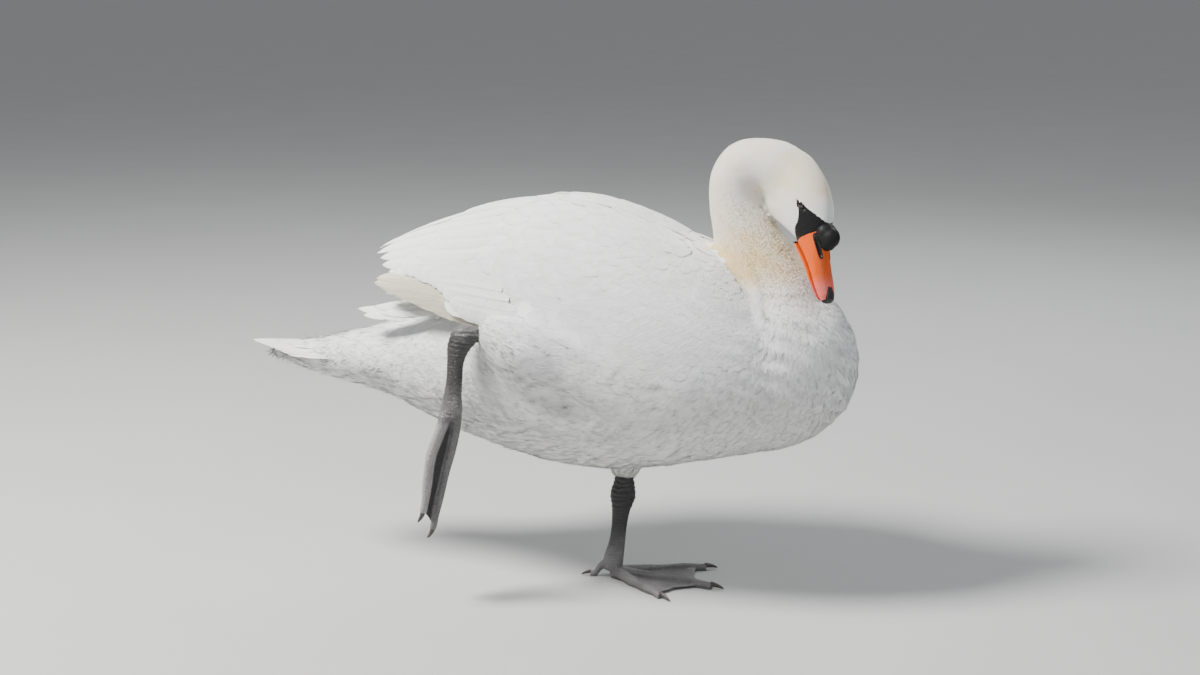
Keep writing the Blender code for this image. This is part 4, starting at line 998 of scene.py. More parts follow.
def maths(nodes, links, op, a, b=0.0, c=0.0):
    n = nodes.new("ShaderNodeMath")
    n.operation = op
    for socket, value in zip(n.inputs, (a, b, c)):
        if isinstance(value, (int, float)):
            socket.default_value = value
        else:
            links.new(value, socket)
    return n.outputs[0]


def ramp(nodes, links, fac, stops):
    n = nodes.new("ShaderNodeValToRGB")
    links.new(fac, n.inputs["Fac"])
    while len(n.color_ramp.elements) < len(stops):
        n.color_ramp.elements.new(0.5)
    for e, (pos, col) in zip(n.color_ramp.elements, stops):
        e.position = pos
        e.color = (*col, 1.0) if len(col) == 3 else col
    return n.outputs["Color"]


def noise(nodes, links, scale, detail=3.0, rough=0.55, vector=None):
    n = nodes.new("ShaderNodeTexNoise")
    n.inputs["Scale"].default_value = scale
    n.inputs["Detail"].default_value = detail
    n.inputs["Roughness"].default_value = rough
    links.new(vector if vector is not None else object_coords(nodes), n.inputs["Vector"])
    return n.outputs["Fac"]


def object_coords(nodes):
    for n in nodes:
        if n.bl_idname == "ShaderNodeTexCoord":
            return n.outputs["Object"]
    return nodes.new("ShaderNodeTexCoord").outputs["Object"]


def bump(nodes, links, shader, height, distance, strength=1.0):
    n = nodes.new("ShaderNodeBump")
    n.inputs["Distance"].default_value = distance
    n.inputs["Strength"].default_value = strength
    links.new(height, n.inputs["Height"])
    links.new(n.outputs["Normal"], shader.inputs["Normal"])


WHITE = (0.90, 0.895, 0.865)
COOL = (0.855, 0.880, 0.885)
BUFF = (0.79, 0.60, 0.31)
# painted shade: a dull buff-grey that stands in for shadow on feathers lying under others
PAINTED_SHADE = (0.62, 0.56, 0.44)


def feather_material(name, barbs=True, sheen=0.25, barb_scale=1.0):
    m, nt, s, nodes, links = new_material(name)
    wander = noise(nodes, links, 9.0, 3.0)
    base = mix_colour(nodes, links, wander, WHITE, COOL)
    base = mix_colour(nodes, links, attribute(nodes, "stain"), base, BUFF)
    fine = noise(nodes, links, 160.0, 2.0)
    tone = attribute(nodes, "tone")
    lum = maths(nodes, links, "MULTIPLY_ADD", tone, 0.045, 0.93)
    lum = maths(nodes, links, "MULTIPLY_ADD", fine, 0.05, lum)
    n = nodes.new("ShaderNodeVectorMath")
    n.operation = "SCALE"
    links.new(base, n.inputs[0])
    links.new(lum, n.inputs["Scale"])
    # painted shade: a per-feather attribute mixes this painted shade colour into the white
    links.new(mix_colour(nodes, links, attribute(nodes, "shade"), n.outputs[0], PAINTED_SHADE), s.inputs["Base Color"])
    links.new(maths(nodes, links, "MULTIPLY_ADD", noise(nodes, links, 60.0), 0.25, 0.62), s.inputs["Roughness"])
    s.inputs["Specular IOR Level"].default_value = 0.25
    s.inputs["Sheen Weight"].default_value = sheen
    s.inputs["Sheen Roughness"].default_value = 0.45
    s.inputs["Sheen Tint"].default_value = (1.0, 0.99, 0.96, 1.0)
    s.inputs["Subsurface Weight"].default_value = 0.22
    s.inputs["Subsurface Radius"].default_value = (1.0, 0.9, 0.75)
    s.inputs["Subsurface Scale"].default_value = 0.004
    if barbs:
        uv = nodes.new("ShaderNodeUVMap")
        uv.uv_map = "Vane"
        sep = nodes.new("ShaderNodeSeparateXYZ")
        links.new(uv.outputs["UV"], sep.inputs[0])
        across = maths(nodes, links, "ABSOLUTE", sep.outputs["Y"])
        phase = maths(nodes, links, "MULTIPLY_ADD", across, -1.15, sep.outputs["X"])
        wob = maths(nodes, links, "MULTIPLY", fine, 0.006)
        phase = maths(nodes, links, "ADD", phase, wob)
        wave = maths(nodes, links, "SINE", maths(nodes, links, "MULTIPLY", phase, 2 * math.pi / (0.0095 * barb_scale)))
        shaft = maths(nodes, links, "SUBTRACT", 1.0, maths(nodes, links, "MULTIPLY", across, 55.0))
        shaft = maths(nodes, links, "MAXIMUM", shaft, 0.0)
        height = maths(nodes, links, "MULTIPLY_ADD", wave, 0.5, maths(nodes, links, "MULTIPLY", shaft, 3.0))
        height = maths(nodes, links, "MULTIPLY_ADD", noise(nodes, links, 420.0, 2.0), 1.4, height)
        bump(nodes, links, s, height, 0.00012, 0.55)
    else:
        bump(nodes, links, s, noise(nodes, links, 700.0, 2.0), 0.0002, 0.5)
    return m


def skin_material():
    m, nt, s, nodes, links = new_material("skin_under_coat")
    base = mix_colour(nodes, links, noise(nodes, links, 9.0, 3.0), WHITE, COOL)
    base = mix_colour(nodes, links, attribute(nodes, "stain"), base, BUFF)
    links.new(mix_colour(nodes, links, maths(nodes, links, "MULTIPLY", noise(nodes, links, 240.0, 2.0), 0.12), base, (0.60, 0.58, 0.54)), s.inputs["Base Color"])
    links.new(maths(nodes, links, "MULTIPLY_ADD", noise(nodes, links, 60.0), 0.2, 0.7), s.inputs["Roughness"])
    s.inputs["Specular IOR Level"].default_value = 0.2
    bump(nodes, links, s, noise(nodes, links, 500.0, 3.0), 0.0004, 0.6)
    return m


def bare_material(name, base, light, rough, scale, depth, gloss=0.4):
    """Bare black skin: fine pebbling, a little wear and a satin sheen."""
    m, nt, s, nodes, links = new_material(name)
    v = nodes.new("ShaderNodeTexVoronoi")
    v.feature = "SMOOTH_F1"
    v.inputs["Scale"].default_value = scale
    links.new(object_coords(nodes), v.inputs["Vector"])
    wander = noise(nodes, links, 45.0, 4.0)
    col = mix_colour(nodes, links, maths(nodes, links, "MULTIPLY", wander, 0.8), base, light)
    links.new(col, s.inputs["Base Color"])
    links.new(maths(nodes, links, "MULTIPLY_ADD", noise(nodes, links, 130.0), 0.22, rough - 0.1), s.inputs["Roughness"])
    s.inputs["Specular IOR Level"].default_value = gloss
    height = maths(nodes, links, "MULTIPLY_ADD", noise(nodes, links, 900.0, 3.0), 0.5, v.outputs["Distance"])
    bump(nodes, links, s, height, depth, 0.7)
    return m


def leg_material():
    """Grey-black scaled skin: net-like scales with paler dry edges, paler low on the shanks, and a painted highlight
    along the raised foot's outer toe.
    """
    m, nt, s, nodes, links = new_material("leg_skin_scaled")
    mapping = nodes.new("ShaderNodeMapping")
    mapping.inputs["Scale"].default_value = (1.0, 1.0, 0.72)
    links.new(object_coords(nodes), mapping.inputs["Vector"])
    v = nodes.new("ShaderNodeTexVoronoi")
    v.feature = "DISTANCE_TO_EDGE"
    v.inputs["Scale"].default_value = 340.0
    v.inputs["Randomness"].default_value = 0.75
    links.new(mapping.outputs[0], v.inputs["Vector"])
    edge = ramp(nodes, links, v.outputs["Distance"], ((0.0, (0, 0, 0)), (0.10, (1, 1, 1))))
    wander = noise(nodes, links, 28.0, 5.0, 0.65)
    dry = ramp(nodes, links, wander, ((0.42, (0, 0, 0)), (0.66, (1, 1, 1))))
    pale = maths(nodes, links, "MULTIPLY", dry, attribute(nodes, "pale"))
    # painted highlight: the per-vertex paleness lightens the raised foot's outer toe as if lit, and the shanks towards
    # the bottom
    col = mix_colour(nodes, links, maths(nodes, links, "MULTIPLY", attribute(nodes, "pale"), 0.85), (0.010, 0.010, 0.0105), (0.42, 0.40, 0.405))
    col = mix_colour(nodes, links, maths(nodes, links, "MULTIPLY", pale, 0.85), col, (0.40, 0.385, 0.385))
    col = mix_colour(nodes, links, maths(nodes, links, "MULTIPLY", maths(nodes, links, "SUBTRACT", 1.0, edge), 0.35), col, (0.012, 0.012, 0.012))
    streak = noise(nodes, links, 120.0, 4.0)
    worn = maths(nodes, links, "MULTIPLY_ADD", attribute(nodes, "pale"), 0.25, 0.06)
    col = mix_colour(nodes, links, maths(nodes, links, "MULTIPLY", streak, worn), col, (0.085, 0.080, 0.079))
    links.new(col, s.inputs["Base Color"])
    links.new(maths(nodes, links, "MULTIPLY_ADD", noise(nodes, links, 90.0), 0.30, 0.30), s.inputs["Roughness"])
    s.inputs["Specular IOR Level"].default_value = 0.45
    height = maths(nodes, links, "MULTIPLY_ADD", noise(nodes, links, 800.0, 3.0), 0.25, edge)
    bump(nodes, links, s, height, 0.00045, 0.9)
    return m


def bill_material():
    """Orange horn, pink and translucent towards the tip, with black at the nostrils, base and cutting edge."""
    m, nt, s, nodes, links = new_material("bill_orange_horn")
    pink = attribute(nodes, "pink")
    wander = noise(nodes, links, 55.0, 4.0)
    orange = mix_colour(nodes, links, wander, (0.58, 0.068, 0.0002), (0.66, 0.092, 0.0004))
    rose = mix_colour(nodes, links, wander, (0.62, 0.095, 0.080), (0.72, 0.170, 0.150))
    col = mix_colour(nodes, links, pink, orange, rose)
    grain = nodes.new("ShaderNodeTexNoise")
    mapping = nodes.new("ShaderNodeMapping")
    mapping.inputs["Rotation"].default_value = (0.45, 0.30, 0.0)
    mapping.inputs["Scale"].default_value = (1.0, 1.0, 0.18)
    links.new(object_coords(nodes), mapping.inputs["Vector"])
    links.new(mapping.outputs[0], grain.inputs["Vector"])
    grain.inputs["Scale"].default_value = 420.0
    grain.inputs["Detail"].default_value = 3.0
    col = mix_colour(nodes, links, maths(nodes, links, "MULTIPLY", grain.outputs["Fac"], 0.22), col, (0.70, 0.10, 0.02))
    dark = attribute(nodes, "dark")
    rag = maths(nodes, links, "MULTIPLY_ADD", noise(nodes, links, 600.0, 3.0), 0.35, -0.17)
    dark = ramp(nodes, links, maths(nodes, links, "ADD", dark, rag), ((0.42, (0, 0, 0)), (0.60, (1, 1, 1))))
    col = mix_colour(nodes, links, dark, col, (0.010, 0.0095, 0.010))
    links.new(col, s.inputs["Base Color"])
    links.new(maths(nodes, links, "MULTIPLY_ADD", noise(nodes, links, 150.0), 0.18, 0.27), s.inputs["Roughness"])
    s.inputs["Subsurface Weight"].default_value = 0.12
    s.inputs["Subsurface Radius"].default_value = (1.0, 0.35, 0.15)
    s.inputs["Subsurface Scale"].default_value = 0.002
    s.inputs["Specular IOR Level"].default_value = 0.32
    height = maths(nodes, links, "MULTIPLY_ADD", noise(nodes, links, 300.0, 3.0), 0.4, grain.outputs["Fac"])
    bump(nodes, links, s, height, 0.00025, 0.5)
    return m


def eye_material():
    m, nt, s, nodes, links = new_material("eye_dark")
    iris = attribute(nodes, "iris")
    streak = noise(nodes, links, 900.0, 3.0)
    brown = mix_colour(nodes, links, streak, (0.010, 0.0055, 0.003), (0.022, 0.011, 0.006))
    links.new(mix_colour(nodes, links, iris, (0.004, 0.0035, 0.0035), brown), s.inputs["Base Color"])
    links.new(maths(nodes, links, "MULTIPLY_ADD", streak, 0.04, 0.03), s.inputs["Roughness"])
    s.inputs["Coat Weight"].default_value = 0.8
    s.inputs["Coat Roughness"].default_value = 0.02
    s.inputs["Specular IOR Level"].default_value = 0.6
    return m


def horn_material(name, dark, light, rough):
    m, nt, s, nodes, links = new_material(name)
    mapping = nodes.new("ShaderNodeMapping")
    mapping.inputs["Scale"].default_value = (1.0, 1.0, 0.3)
    links.new(object_coords(nodes), mapping.inputs["Vector"])
    streak = noise(nodes, links, 420.0, 4.0, 0.6, mapping.outputs[0])
    links.new(mix_colour(nodes, links, maths(nodes, links, "MULTIPLY", streak, 0.7), dark, light), s.inputs["Base Color"])
    links.new(maths(nodes, links, "MULTIPLY_ADD", noise(nodes, links, 160.0), 0.2, rough), s.inputs["Roughness"])
    bump(nodes, links, s, streak, 0.0002, 0.5)
    return m


COAT_BODY = feather_material("coat_body_feather", barbs=True, sheen=0.30)
COAT_FINE = feather_material("coat_fine_tuft", barbs=False, sheen=0.45)
COAT_WING = feather_material("coat_wing_feather", barbs=True, sheen=0.15)
COAT_QUILL = feather_material("coat_quill_feather", barbs=True, sheen=0.10, barb_scale=1.4)
SKIN = skin_material()
BARE = bare_material("skin_bare_black", (0.0050, 0.0050, 0.0058), (0.0115, 0.0115, 0.0130), 0.50, 900.0, 0.00014, 0.22)
LEG = leg_material()
BILL_MAT = bill_material()
KNOB_MAT = bare_material("bill_black_knob", (0.0024, 0.0024, 0.0028), (0.0055, 0.0055, 0.0062), 0.58, 700.0, 0.00012, 0.26)
NAIL_MAT = horn_material("bill_black_nail", (0.009, 0.008, 0.009), (0.022, 0.018, 0.020), 0.24)
CLAW_MAT = horn_material("claw_dark_horn", (0.020, 0.017, 0.016), (0.085, 0.070, 0.062), 0.28)
EYE_MAT = eye_material()


# ================================================================ the skin: one body from bill to toes
def mesh_surface(data):
    mesh = raw_mesh("tmp", *data)
    mesh.calc_loop_triangles()
    v = np.array([tuple(q.co) for q in mesh.vertices])
    t = np.array([tuple(q.vertices) for q in mesh.loop_triangles])
    bpy.data.meshes.remove(mesh)
    return Surface(v, t)


BROW = {0.0790: 0.0040, 0.0840: 0.0060, 0.0920: 0.0040, 0.1020: 0.0018, 0.1120: 0.0006}  # fuller forehead over the knob
HEAD_SURFACE = mesh_surface(loft_data(head_rings([(r[0], r[1] + BROW.get(r[0], 0.0), *r[2:]) for r in HEAD], 200, 160)))
EYES = {}
for word, way in (("right", 1.0), ("left", -1.0)):
    rim = at_head(0.1188, 0.0147, 0.0262 * way)
    axis = unit(-H_LONG * -0.16 + H_UP * 0.20 + H_RIGHT * way * 0.96)
    EYES[word] = (rim - axis * 0.0076, axis)


def eye_frame(p, word):
    """Place round an eye: along its opening's length, its height, and distance from the ball's middle."""
    middle, axis = EYES[word]
    d = p - middle
    ahead = unit(H_LONG - axis * (H_LONG @ axis))
    above = unit(np.cross(axis, ahead))
    if above @ H_UP < 0:
        above = -above
    slant = math.radians(22.0)  # the opening's front corner points at the knob
    ahead, above = ahead * math.cos(slant) + above * math.sin(slant), above * math.cos(slant) - ahead * math.sin(slant)
    return d @ ahead, d @ above, d @ axis, np.linalg.norm(d, axis=-1)


OPEN_LONG, OPEN_HIGH = 0.0052, 0.0031


def eye_opening(p, word):
    a, b, c, r = eye_frame(p, word)
    # the opening is a rounded almond, a little drawn out at its front and rear corners
    s = np.sqrt((a / OPEN_LONG) ** 2 + (b / (OPEN_HIGH * (1 - 0.42 * np.clip((a / OPEN_LONG) ** 2, 0, 1.2)))) ** 2)
    return np.where(c > 0.0, s, 99.0), r


def eye_bare(p):
    """The narrow black rim of bare skin round an eye's opening."""
    s = np.minimum(eye_opening(p, "right")[0], eye_opening(p, "left")[0])
    return (s < 1.30) & (head_out(p)[0] < 1.5)


def coat_depth(p):
    out, b, u, r = head_out(p)
    t, rho, angle, along = neck_coords(p)
    d = 0.0036 - 0.0019 * step(t, 0.20, 0.34) * step(p[:, 2], 0.34, 0.40)
    head = step(1.6 - out, 0.0, 0.3)
    d = d + (0.0013 - d) * head
    face = step(lore_inside(p), -0.0030, 0.0002)
    d = d * (1 - face)
    thin = np.maximum(step(-p[:, 0], 0.085, 0.118) * step(-p[:, 1], 0.09, 0.13), step(0.175 - p[:, 2], 0.0, 0.035) * step(p[:, 0], -0.02, 0.0))
    return d * (1 - 0.65 * thin)


def subdivide(v, faces, levels):
    bm = bmesh.new()
    verts = [bm.verts.new(q) for q in v.tolist()]
    bm.verts.ensure_lookup_table()
    for f in faces.tolist():
        bm.faces.new([verts[i] for i in f])
    for keep in levels:
        bm.faces.ensure_lookup_table()
        mid = np.array([tuple(f.calc_center_median()) for f in bm.faces])
        hit = np.nonzero(keep(mid))[0]
        edges = {e for i in hit.tolist() for e in bm.faces[i].edges}
        bmesh.ops.subdivide_edges(bm, edges=list(edges), cuts=1, use_grid_fill=True)
    bmesh.ops.triangulate(bm, faces=bm.faces)
    bm.verts.index_update()
    v = np.array([tuple(q.co) for q in bm.verts])
    t = np.array([[q.index for q in f.verts] for f in bm.faces])
    bm.free()
    return v, t


def eye_reach(p):
    return np.minimum(np.linalg.norm(p - EYES["right"][0], axis=-1), np.linalg.norm(p - EYES["left"][0], axis=-1))


BLENDED = []
NECK_SURFACE = mesh_surface(loft_data(tube_rings(NECK, 200, 120)))


def body_skin():
    v, q = remeshed(joined_mesh("skin", body_lofts()), 0.0054, 6)

    def head_zone(p):
        out, b, u, r = head_out(p)
        return (out < 1.4) & (b < 0.152)

    def face_zone(p):
        return (lore_inside(p) > -0.0060) | (eye_reach(p) < 0.0165)

    v, t = subdivide(v, q, (head_zone, face_zone, lambda p: eye_reach(p) < 0.0140, lambda p: eye_reach(p) < 0.0112))
    # the remesh fills the crease between jaw and neck, and this cuts it back
    out, b, u, r = head_out(v)
    near = np.nonzero((b > 0.080) & (b < 0.150) & (out < 2.6) & (u < 0.020))[0]
    at_h, n_h, _ = HEAD_SURFACE.near(v[near])
    at_n, n_n, _ = NECK_SURFACE.near(v[near])
    over = np.minimum(((v[near] - at_h) * n_h).sum(1), ((v[near] - at_n) * n_n).sum(1))
    fade = step(b[near], 0.080, 0.088) * step(0.150 - b[near], 0.0, 0.012)
    v[near] -= vertex_normals(v, t)[near] * (np.clip(over, 0, 0.0085) * fade)[:, None]
    # the fine face follows the head's own form
    out, b, u, r = head_out(v)
    w = step(0.160 - b, 0.0, 0.026) * (out < 1.5)
    near = w > 0
    pos, n, _ = HEAD_SURFACE.near(v[near])
    gap = np.linalg.norm(pos - v[near], axis=1)
    at_n, n_n, _ = NECK_SURFACE.near(v[near])
    clear = np.where((u[near] < 0.020) & (b[near] > 0.090), ((v[near] - at_n) * n_n).sum(1) - gap, 1.0)
    w[near] *= np.maximum(step(0.0080 - gap, 0.0, 0.0055), step(0.150 - b[near], 0.0, 0.014)) * step(clear, -0.0014, 0.0010)
    v[near] += (pos - v[near]) * w[near][:, None]
    e = np.concatenate([t[:, [0, 1]], t[:, [1, 2]], t[:, [2, 0]]])
    even = np.stack([averaged(v[:, k], e, len(v), 3) for k in range(3)], -1)
    throat = step(b, 0.082, 0.092) * step(0.158 - b, 0.0, 0.012) * step(0.016 - u, 0.0, 0.010) * (out < 2.4) * (lore_inside(v) < -0.004)
    v = v + (even - v) * throat[:, None]
    n = vertex_normals(v, t)
    d = coat_depth(v)
    tree = BVHTree.FromPolygons(v.tolist(), t.tolist(), all_triangles=True)
    thick = np.array([(h[3] if h[3] is not None else 0.05) for h in (tree.ray_cast(Vector(a) - Vector(b) * 1e-4, -Vector(b)) for a, b in zip(v.tolist(), n.tolist()))])
    lores = step(lore_inside(v), -0.0012, 0.0010)
    rise = relief(v) * (1 - step(1.6 - out, 0.0, 0.2))
    BLENDED.append(Surface(v + n * rise[:, None], t))
    d = np.minimum(d, 0.30 * thick)
    d = np.where(near, d, averaged(d, e, len(v), 3))
    v = v + n * (rise - d + lores * 0.00022 * waves(v, 31, 0.004))[:, None]
    # lids round each eye: a smooth rim that stands just off the ball, and a fold in the skin outside it
    for word, way in (("right", 1.0), ("left", -1.0)):
        middle, axis = EYES[word]
        s, r = eye_opening(v, word)
        way_out = unit(v - middle)
        rim = np.where(s < 1.0, 0.0058 + 0.0030 * step(s, 0.72, 1.0), 0.0088 - 0.0002 * step(s, 1.0, 1.3))
        blend = step(2.25 - s, 0.0, 1.05)
        target = middle + way_out * rim[:, None]
        fold = 0.00045 * np.exp(-(((s - 1.22) / 0.10) ** 2)) - 0.00040 * np.exp(-(((s - 1.46) / 0.10) ** 2)) + 0.00022 * np.exp(-(((s - 1.72) / 0.10) ** 2))
        v = np.where((s < 2.4)[:, None], v + (target - v) * blend[:, None] + way_out * np.where(s < 2.4, fold, 0.0)[:, None], v)
    return v, t


def toe_rows(points, root, tip, joints=3):
    fine = smooth_rows([(*p, 0.0) for p in points], 25)
    rows = []
    for i, p in enumerate(fine):
        u = i / 24
        r = root + (tip - root) * u
        r *= 1.0 + 0.085 * math.cos(2 * math.pi * (u * joints - 0.12)) * (0.4 + 0.6 * u)
        rows.append((*p[:3], r, r * 0.86))
    return rows


def sheet_data(rail_a, rail_b, thick, hint, steps=44, across=18, reach=0.9, sag=0.10, ripple=0.0):
    a, b = smooth_rows([tuple(p) for p in rail_a], 60), smooth_rows([tuple(p) for p in rail_b], 60)
    hint = unit(np.array(hint))
    rings = []
    for i in range(steps + 1):
        u = i / steps
        top = []
        for k in range(across + 1):
            v = k / across
            r = u * (reach - sag * 4 * v * (1 - v)) * 59
            pa = np.array([np.interp(r, np.arange(60), a[:, c]) for c in range(3)])
            pb = np.array([np.interp(r, np.arange(60), b[:, c]) for c in range(3)])
            top.append(pa + (pb - pa) * v + hint * (ripple * math.sin(u * 9.0 + v * 5.0) * math.sin(math.pi * v) * u - 1.2 * ripple * math.sin(math.pi * v) * u))
        top = np.array(top)
        rings.append(np.concatenate([top + hint * thick / 2, (top - hint * thick / 2)[::-1]]))
    return loft_data(rings)


def legs():
    ankle = [(-0.104, -0.1410, 0.3420, 0.0058, 0.0052), (-0.114, -0.1440, 0.3450, 0.0072, 0.0072), (-0.1225, -0.1475, 0.3480, 0.0096, 0.0108), (-0.134, -0.1500, 0.3465, 0.0116, 0.0148), (-0.1415, -0.1510, 0.334, 0.0102, 0.0138)]
    right = [loft_data(tube_rings(ankle + list(SHANK_R[4:]), 90, 40))]
    right.append(loft_data(ball_rings(np.array((-0.1325, -0.1497, 0.3455)), (0.0118, 0.0120, 0.0150), 40, 28)))
    rails, ends = {}, []
    for kind, points, root, tip in TOES_R:
        right.append(loft_data(tube_rings(toe_rows(points, root, tip), 60, 28, (0.05, 1, 0.02))))
        rails[kind] = points
        way = unit(np.array(points[-1]) - np.array(points[-2]))
        ends.append(("right", kind, np.array(points[-1]) + way * tip * 0.5, way, np.array((-1.0, 0, 0.2)), 0.75 if kind == "hind" else 1.0))
    right.append(sheet_data(rails["outer"], rails["middle"], 0.0026, (1.0, -0.2, 0.1), reach=0.985, sag=0.035, ripple=0.0014))
    right.append(sheet_data(rails["middle"], rails["inner"], 0.0026, (1.0, 0.2, 0.1), ripple=0.0014))
    left = [loft_data(tube_rings(SHANK_L, 90, 40))]
    foot = np.array(FOOT_L)
    for kind, turn, length, root, tip in TOES_L:
        a = math.radians(turn)
        way = np.array((math.cos(a), math.sin(a), 0.0))
        pts = []
        for i in range(6):
            u = i / 5
            h = 0.0060 * (1 - u) + tip * 0.55 * u
            pts.append(tuple(foot + way * (0.004 + (length - 0.004) * u) + np.array((0, 0, h - foot[2] + 0.0018 * math.sin(u * math.pi * 3) ** 2))))
        left.append(loft_data(tube_rings(toe_rows(pts, root, tip), 60, 28, (0.05, 1, 0.02))))
        rails[kind] = [(p[0], p[1], 0.0036) for p in pts]
        ends.append(("left", kind, np.array(pts[-1]) + way * tip * 0.5 + np.array((0, 0, 0.0030)), way, np.array((0, 0, -0.25)), 1.0))
    hind = [tuple(foot + np.array(p)) for p in HIND_TOE_L]
    left.append(loft_data(tube_rings(toe_rows(hind, 0.0058, 0.0045, 1), 40, 24, (0.05, 1, 0.02))))
    way = unit(np.array((-1.0, -0.12, -0.10)))
    ends.append(("left", "hind", np.array(hind[-1]) + way * 0.0045 * 0.5 + np.array((0, 0, 0.0034)), way, np.array((0, 0, -0.6)), 0.75))
    left.append(sheet_data(rails["inner"], rails["middle"], 0.0030, (0, 0, 1)))
    left.append(sheet_data(rails["middle"], rails["outer"], 0.0030, (0, 0, 1)))
    out = []
    for word, datas in (("right", right), ("left", left)):
        v, q = remeshed(joined_mesh("leg", datas), 0.00125, 3)
        n = vertex_normals(v, tris_of(q))
        z = v[:, 2]
        # broad scales ring the front of shank and toes, and the ankle is wrinkled
        ring = np.sin(z * 2 * math.pi / 0.0042 + 1.2 * waves(v, 41, 0.010)) * 0.00016
        ankle = (0.335, 0.365) if word == "right" else (0.096, 0.130)
        at = step(z, ankle[0] - 0.012, ankle[0]) * step(ankle[1] - z, -0.012, 0.0)
        ring = ring + at * 0.00050 * np.sin(z * 2 * math.pi / 0.0062 + 1.5 * waves(v, 42, 0.012))
        v = v + n * ring[:, None] + n * (0.00018 * waves(v, 43, 0.006))[:, None]
        if word == "left":
            v[:, 2] = np.where(z < 0.0013, 0.0, np.maximum(v[:, 2], 0.0))
        out.append((v, tris_of(q)))
    return out, ends


LEGS, CLAWS = legs()
SKIN_V, SKIN_T = body_skin()


def make_skin():
    vs, ts, mat = [SKIN_V], [SKIN_T], []
    mid = SKIN_V[SKIN_T].mean(1)
    mat.append(np.where((lore_inside(mid) > 0.0) | eye_bare(mid), 1, 0))
    pale = [np.zeros(len(SKIN_V))]
    count = len(SKIN_V)
    for (v, t), word in zip(LEGS, ("right", "left")):
        vs.append(v)
        ts.append(t + count)
        mat.append(np.full(len(t), 2))
        x, y, z = v.T
        if word == "right":
            line = smooth_rows([q for q in dict((k, pts) for k, pts, _, _ in TOES_R)["outer"]], 40)[:, :3]
            inner = smooth_rows([q for q in dict((k, pts) for k, pts, _, _ in TOES_R)["middle"]], 40)[:, :3]
            d1 = np.min([np.linalg.norm(v - q, axis=1) for q in line], axis=0)
            d2 = np.min([np.linalg.norm(v - q, axis=1) for q in inner], axis=0)
            # painted highlight: the raised foot's outer toe, and more faintly its middle toe, are made pale as if lit;
            # the shank is paler towards its bottom and front and at the ankle's top
            foot = 1.0 * step(0.0092 - d1, 0.0, 0.0022) + 0.30 * step(0.0088 - d2, 0.0, 0.0022)
            shank = (0.09 + 0.22 * step(0.30 - z, 0.0, 0.04)) * (0.6 + 0.4 * step(x, -0.152, -0.142)) + 0.14 * step(z, 0.345, 0.356)
            k = np.where(z < 0.245, foot, shank) * step(np.abs(z - 0.245), -0.001, 0.012) + 0.3 * np.exp(-(((z - 0.245) / 0.010) ** 2))
        else:
            # the standing leg is paler towards the bottom
            k = step(0.075 - z, 0.0, 0.045) * 0.30 + 0.03
        pale.append(np.clip(k, 0, 1))
        count += len(v)
    v, t = np.concatenate(vs), np.concatenate(ts)
    attrs = {"stain": stain(v) * (np.arange(len(v)) < len(SKIN_V)), "pale": np.concatenate(pale)}
    uv = spine_uv(v)
    names = ("head", "neck_upper", "neck_lower", "trunk", "thigh_left", "thigh_right", "wing_left", "wing_right", "tail_coverts", "shank_left", "shank_right", "foot_left", "foot_right")
    piece("skin", v, t, attrs, uv, None, (SKIN, BARE, LEG), np.concatenate(mat), replaces=names)
    print("skin", len(t), "triangles")


make_skin()


# ================================================================ eyes, bill and claws
def simple(name, data, mats, replaces, attrs=None, rounds=0):
    mesh = raw_mesh("tmp", *data)
    mesh.calc_loop_triangles()
    v = np.array([tuple(q.co) for q in mesh.vertices])
    t = np.array([tuple(q.vertices) for q in mesh.loop_triangles])
    bpy.data.meshes.remove(mesh)
    at = attrs(v) if attrs else None
    return piece(name, v, t, at, None, None, mats, replaces=replaces)


for word in ("right", "left"):
    middle, axis = EYES[word]
    pts, faces = loft_data(ball_rings(np.zeros(3), (1.0, 1.0, 1.0), 64, 48))
    d = unit(pts)
    # poles of the ball turned to the opening, with the slight bulge of the cornea
    m = np.array(Vector((1, 0, 0)).rotation_difference(Vector(axis)).to_matrix())
    bulge = 0.00035 * step(d[:, 0], 0.70, 0.98)
    v = (d * (EYE_RADIUS + bulge)[:, None]) @ m.T + middle
    simple("eye_" + word + "_fine", (v, faces), (EYE_MAT,), ("eye_" + word,), lambda q, c=middle, a=axis: {"iris": step(0.965 - unit(q - c) @ a, 0.0, 0.02) * step(unit(q - c) @ a, 0.70, 0.76)})


def segment_distance(p, a, b):
    e = b - a
    t = np.clip(((p - a) @ e) / (e @ e), 0, 1)
    return np.linalg.norm(p - a - t[:, None] * e, axis=1), t


def bill_attrs(p):
    b, u, r = head_coords(p)
    side = np.abs(r)
    # black skin at the base runs on from the lores, and joins the nostril under the knob
    edge = np.interp(u, (-0.016, -0.0093, 0.0, 0.0131, 0.0214, 0.030), (0.0815, 0.0829, 0.0844, 0.0861, 0.0859, 0.0850))
    dark = step(b - edge, -0.0012, 0.0012)
    for way in (1.0, -1.0):
        d, t = segment_distance(p, at_head(0.0790, 0.0160, 0.0130 * way), at_head(0.0538, 0.0126, 0.0082 * way))
        dark = np.maximum(dark, step(0.0047 - 0.0015 * t - d, 0.0, 0.0011))
    knob = (((b - KNOB_BACK) / 0.0150) ** 2 + ((u - KNOB_UP) / 0.0150) ** 2 + (r / 0.0125) ** 2)
    dark = np.maximum(dark, step(1.12 - knob, 0.0, 0.16))
    depth = np.interp(b, [q[0] for q in BILL], [q[2] for q in BILL])
    dark = np.maximum(dark, step(-u / depth, 0.86, 0.97) * 0.95)
    pink = step(0.037 - b, 0.0, 0.022)
    dark = np.maximum(dark, step(0.0052 - b, 0.0, 0.0020))
    return {"dark": dark, "pink": pink}


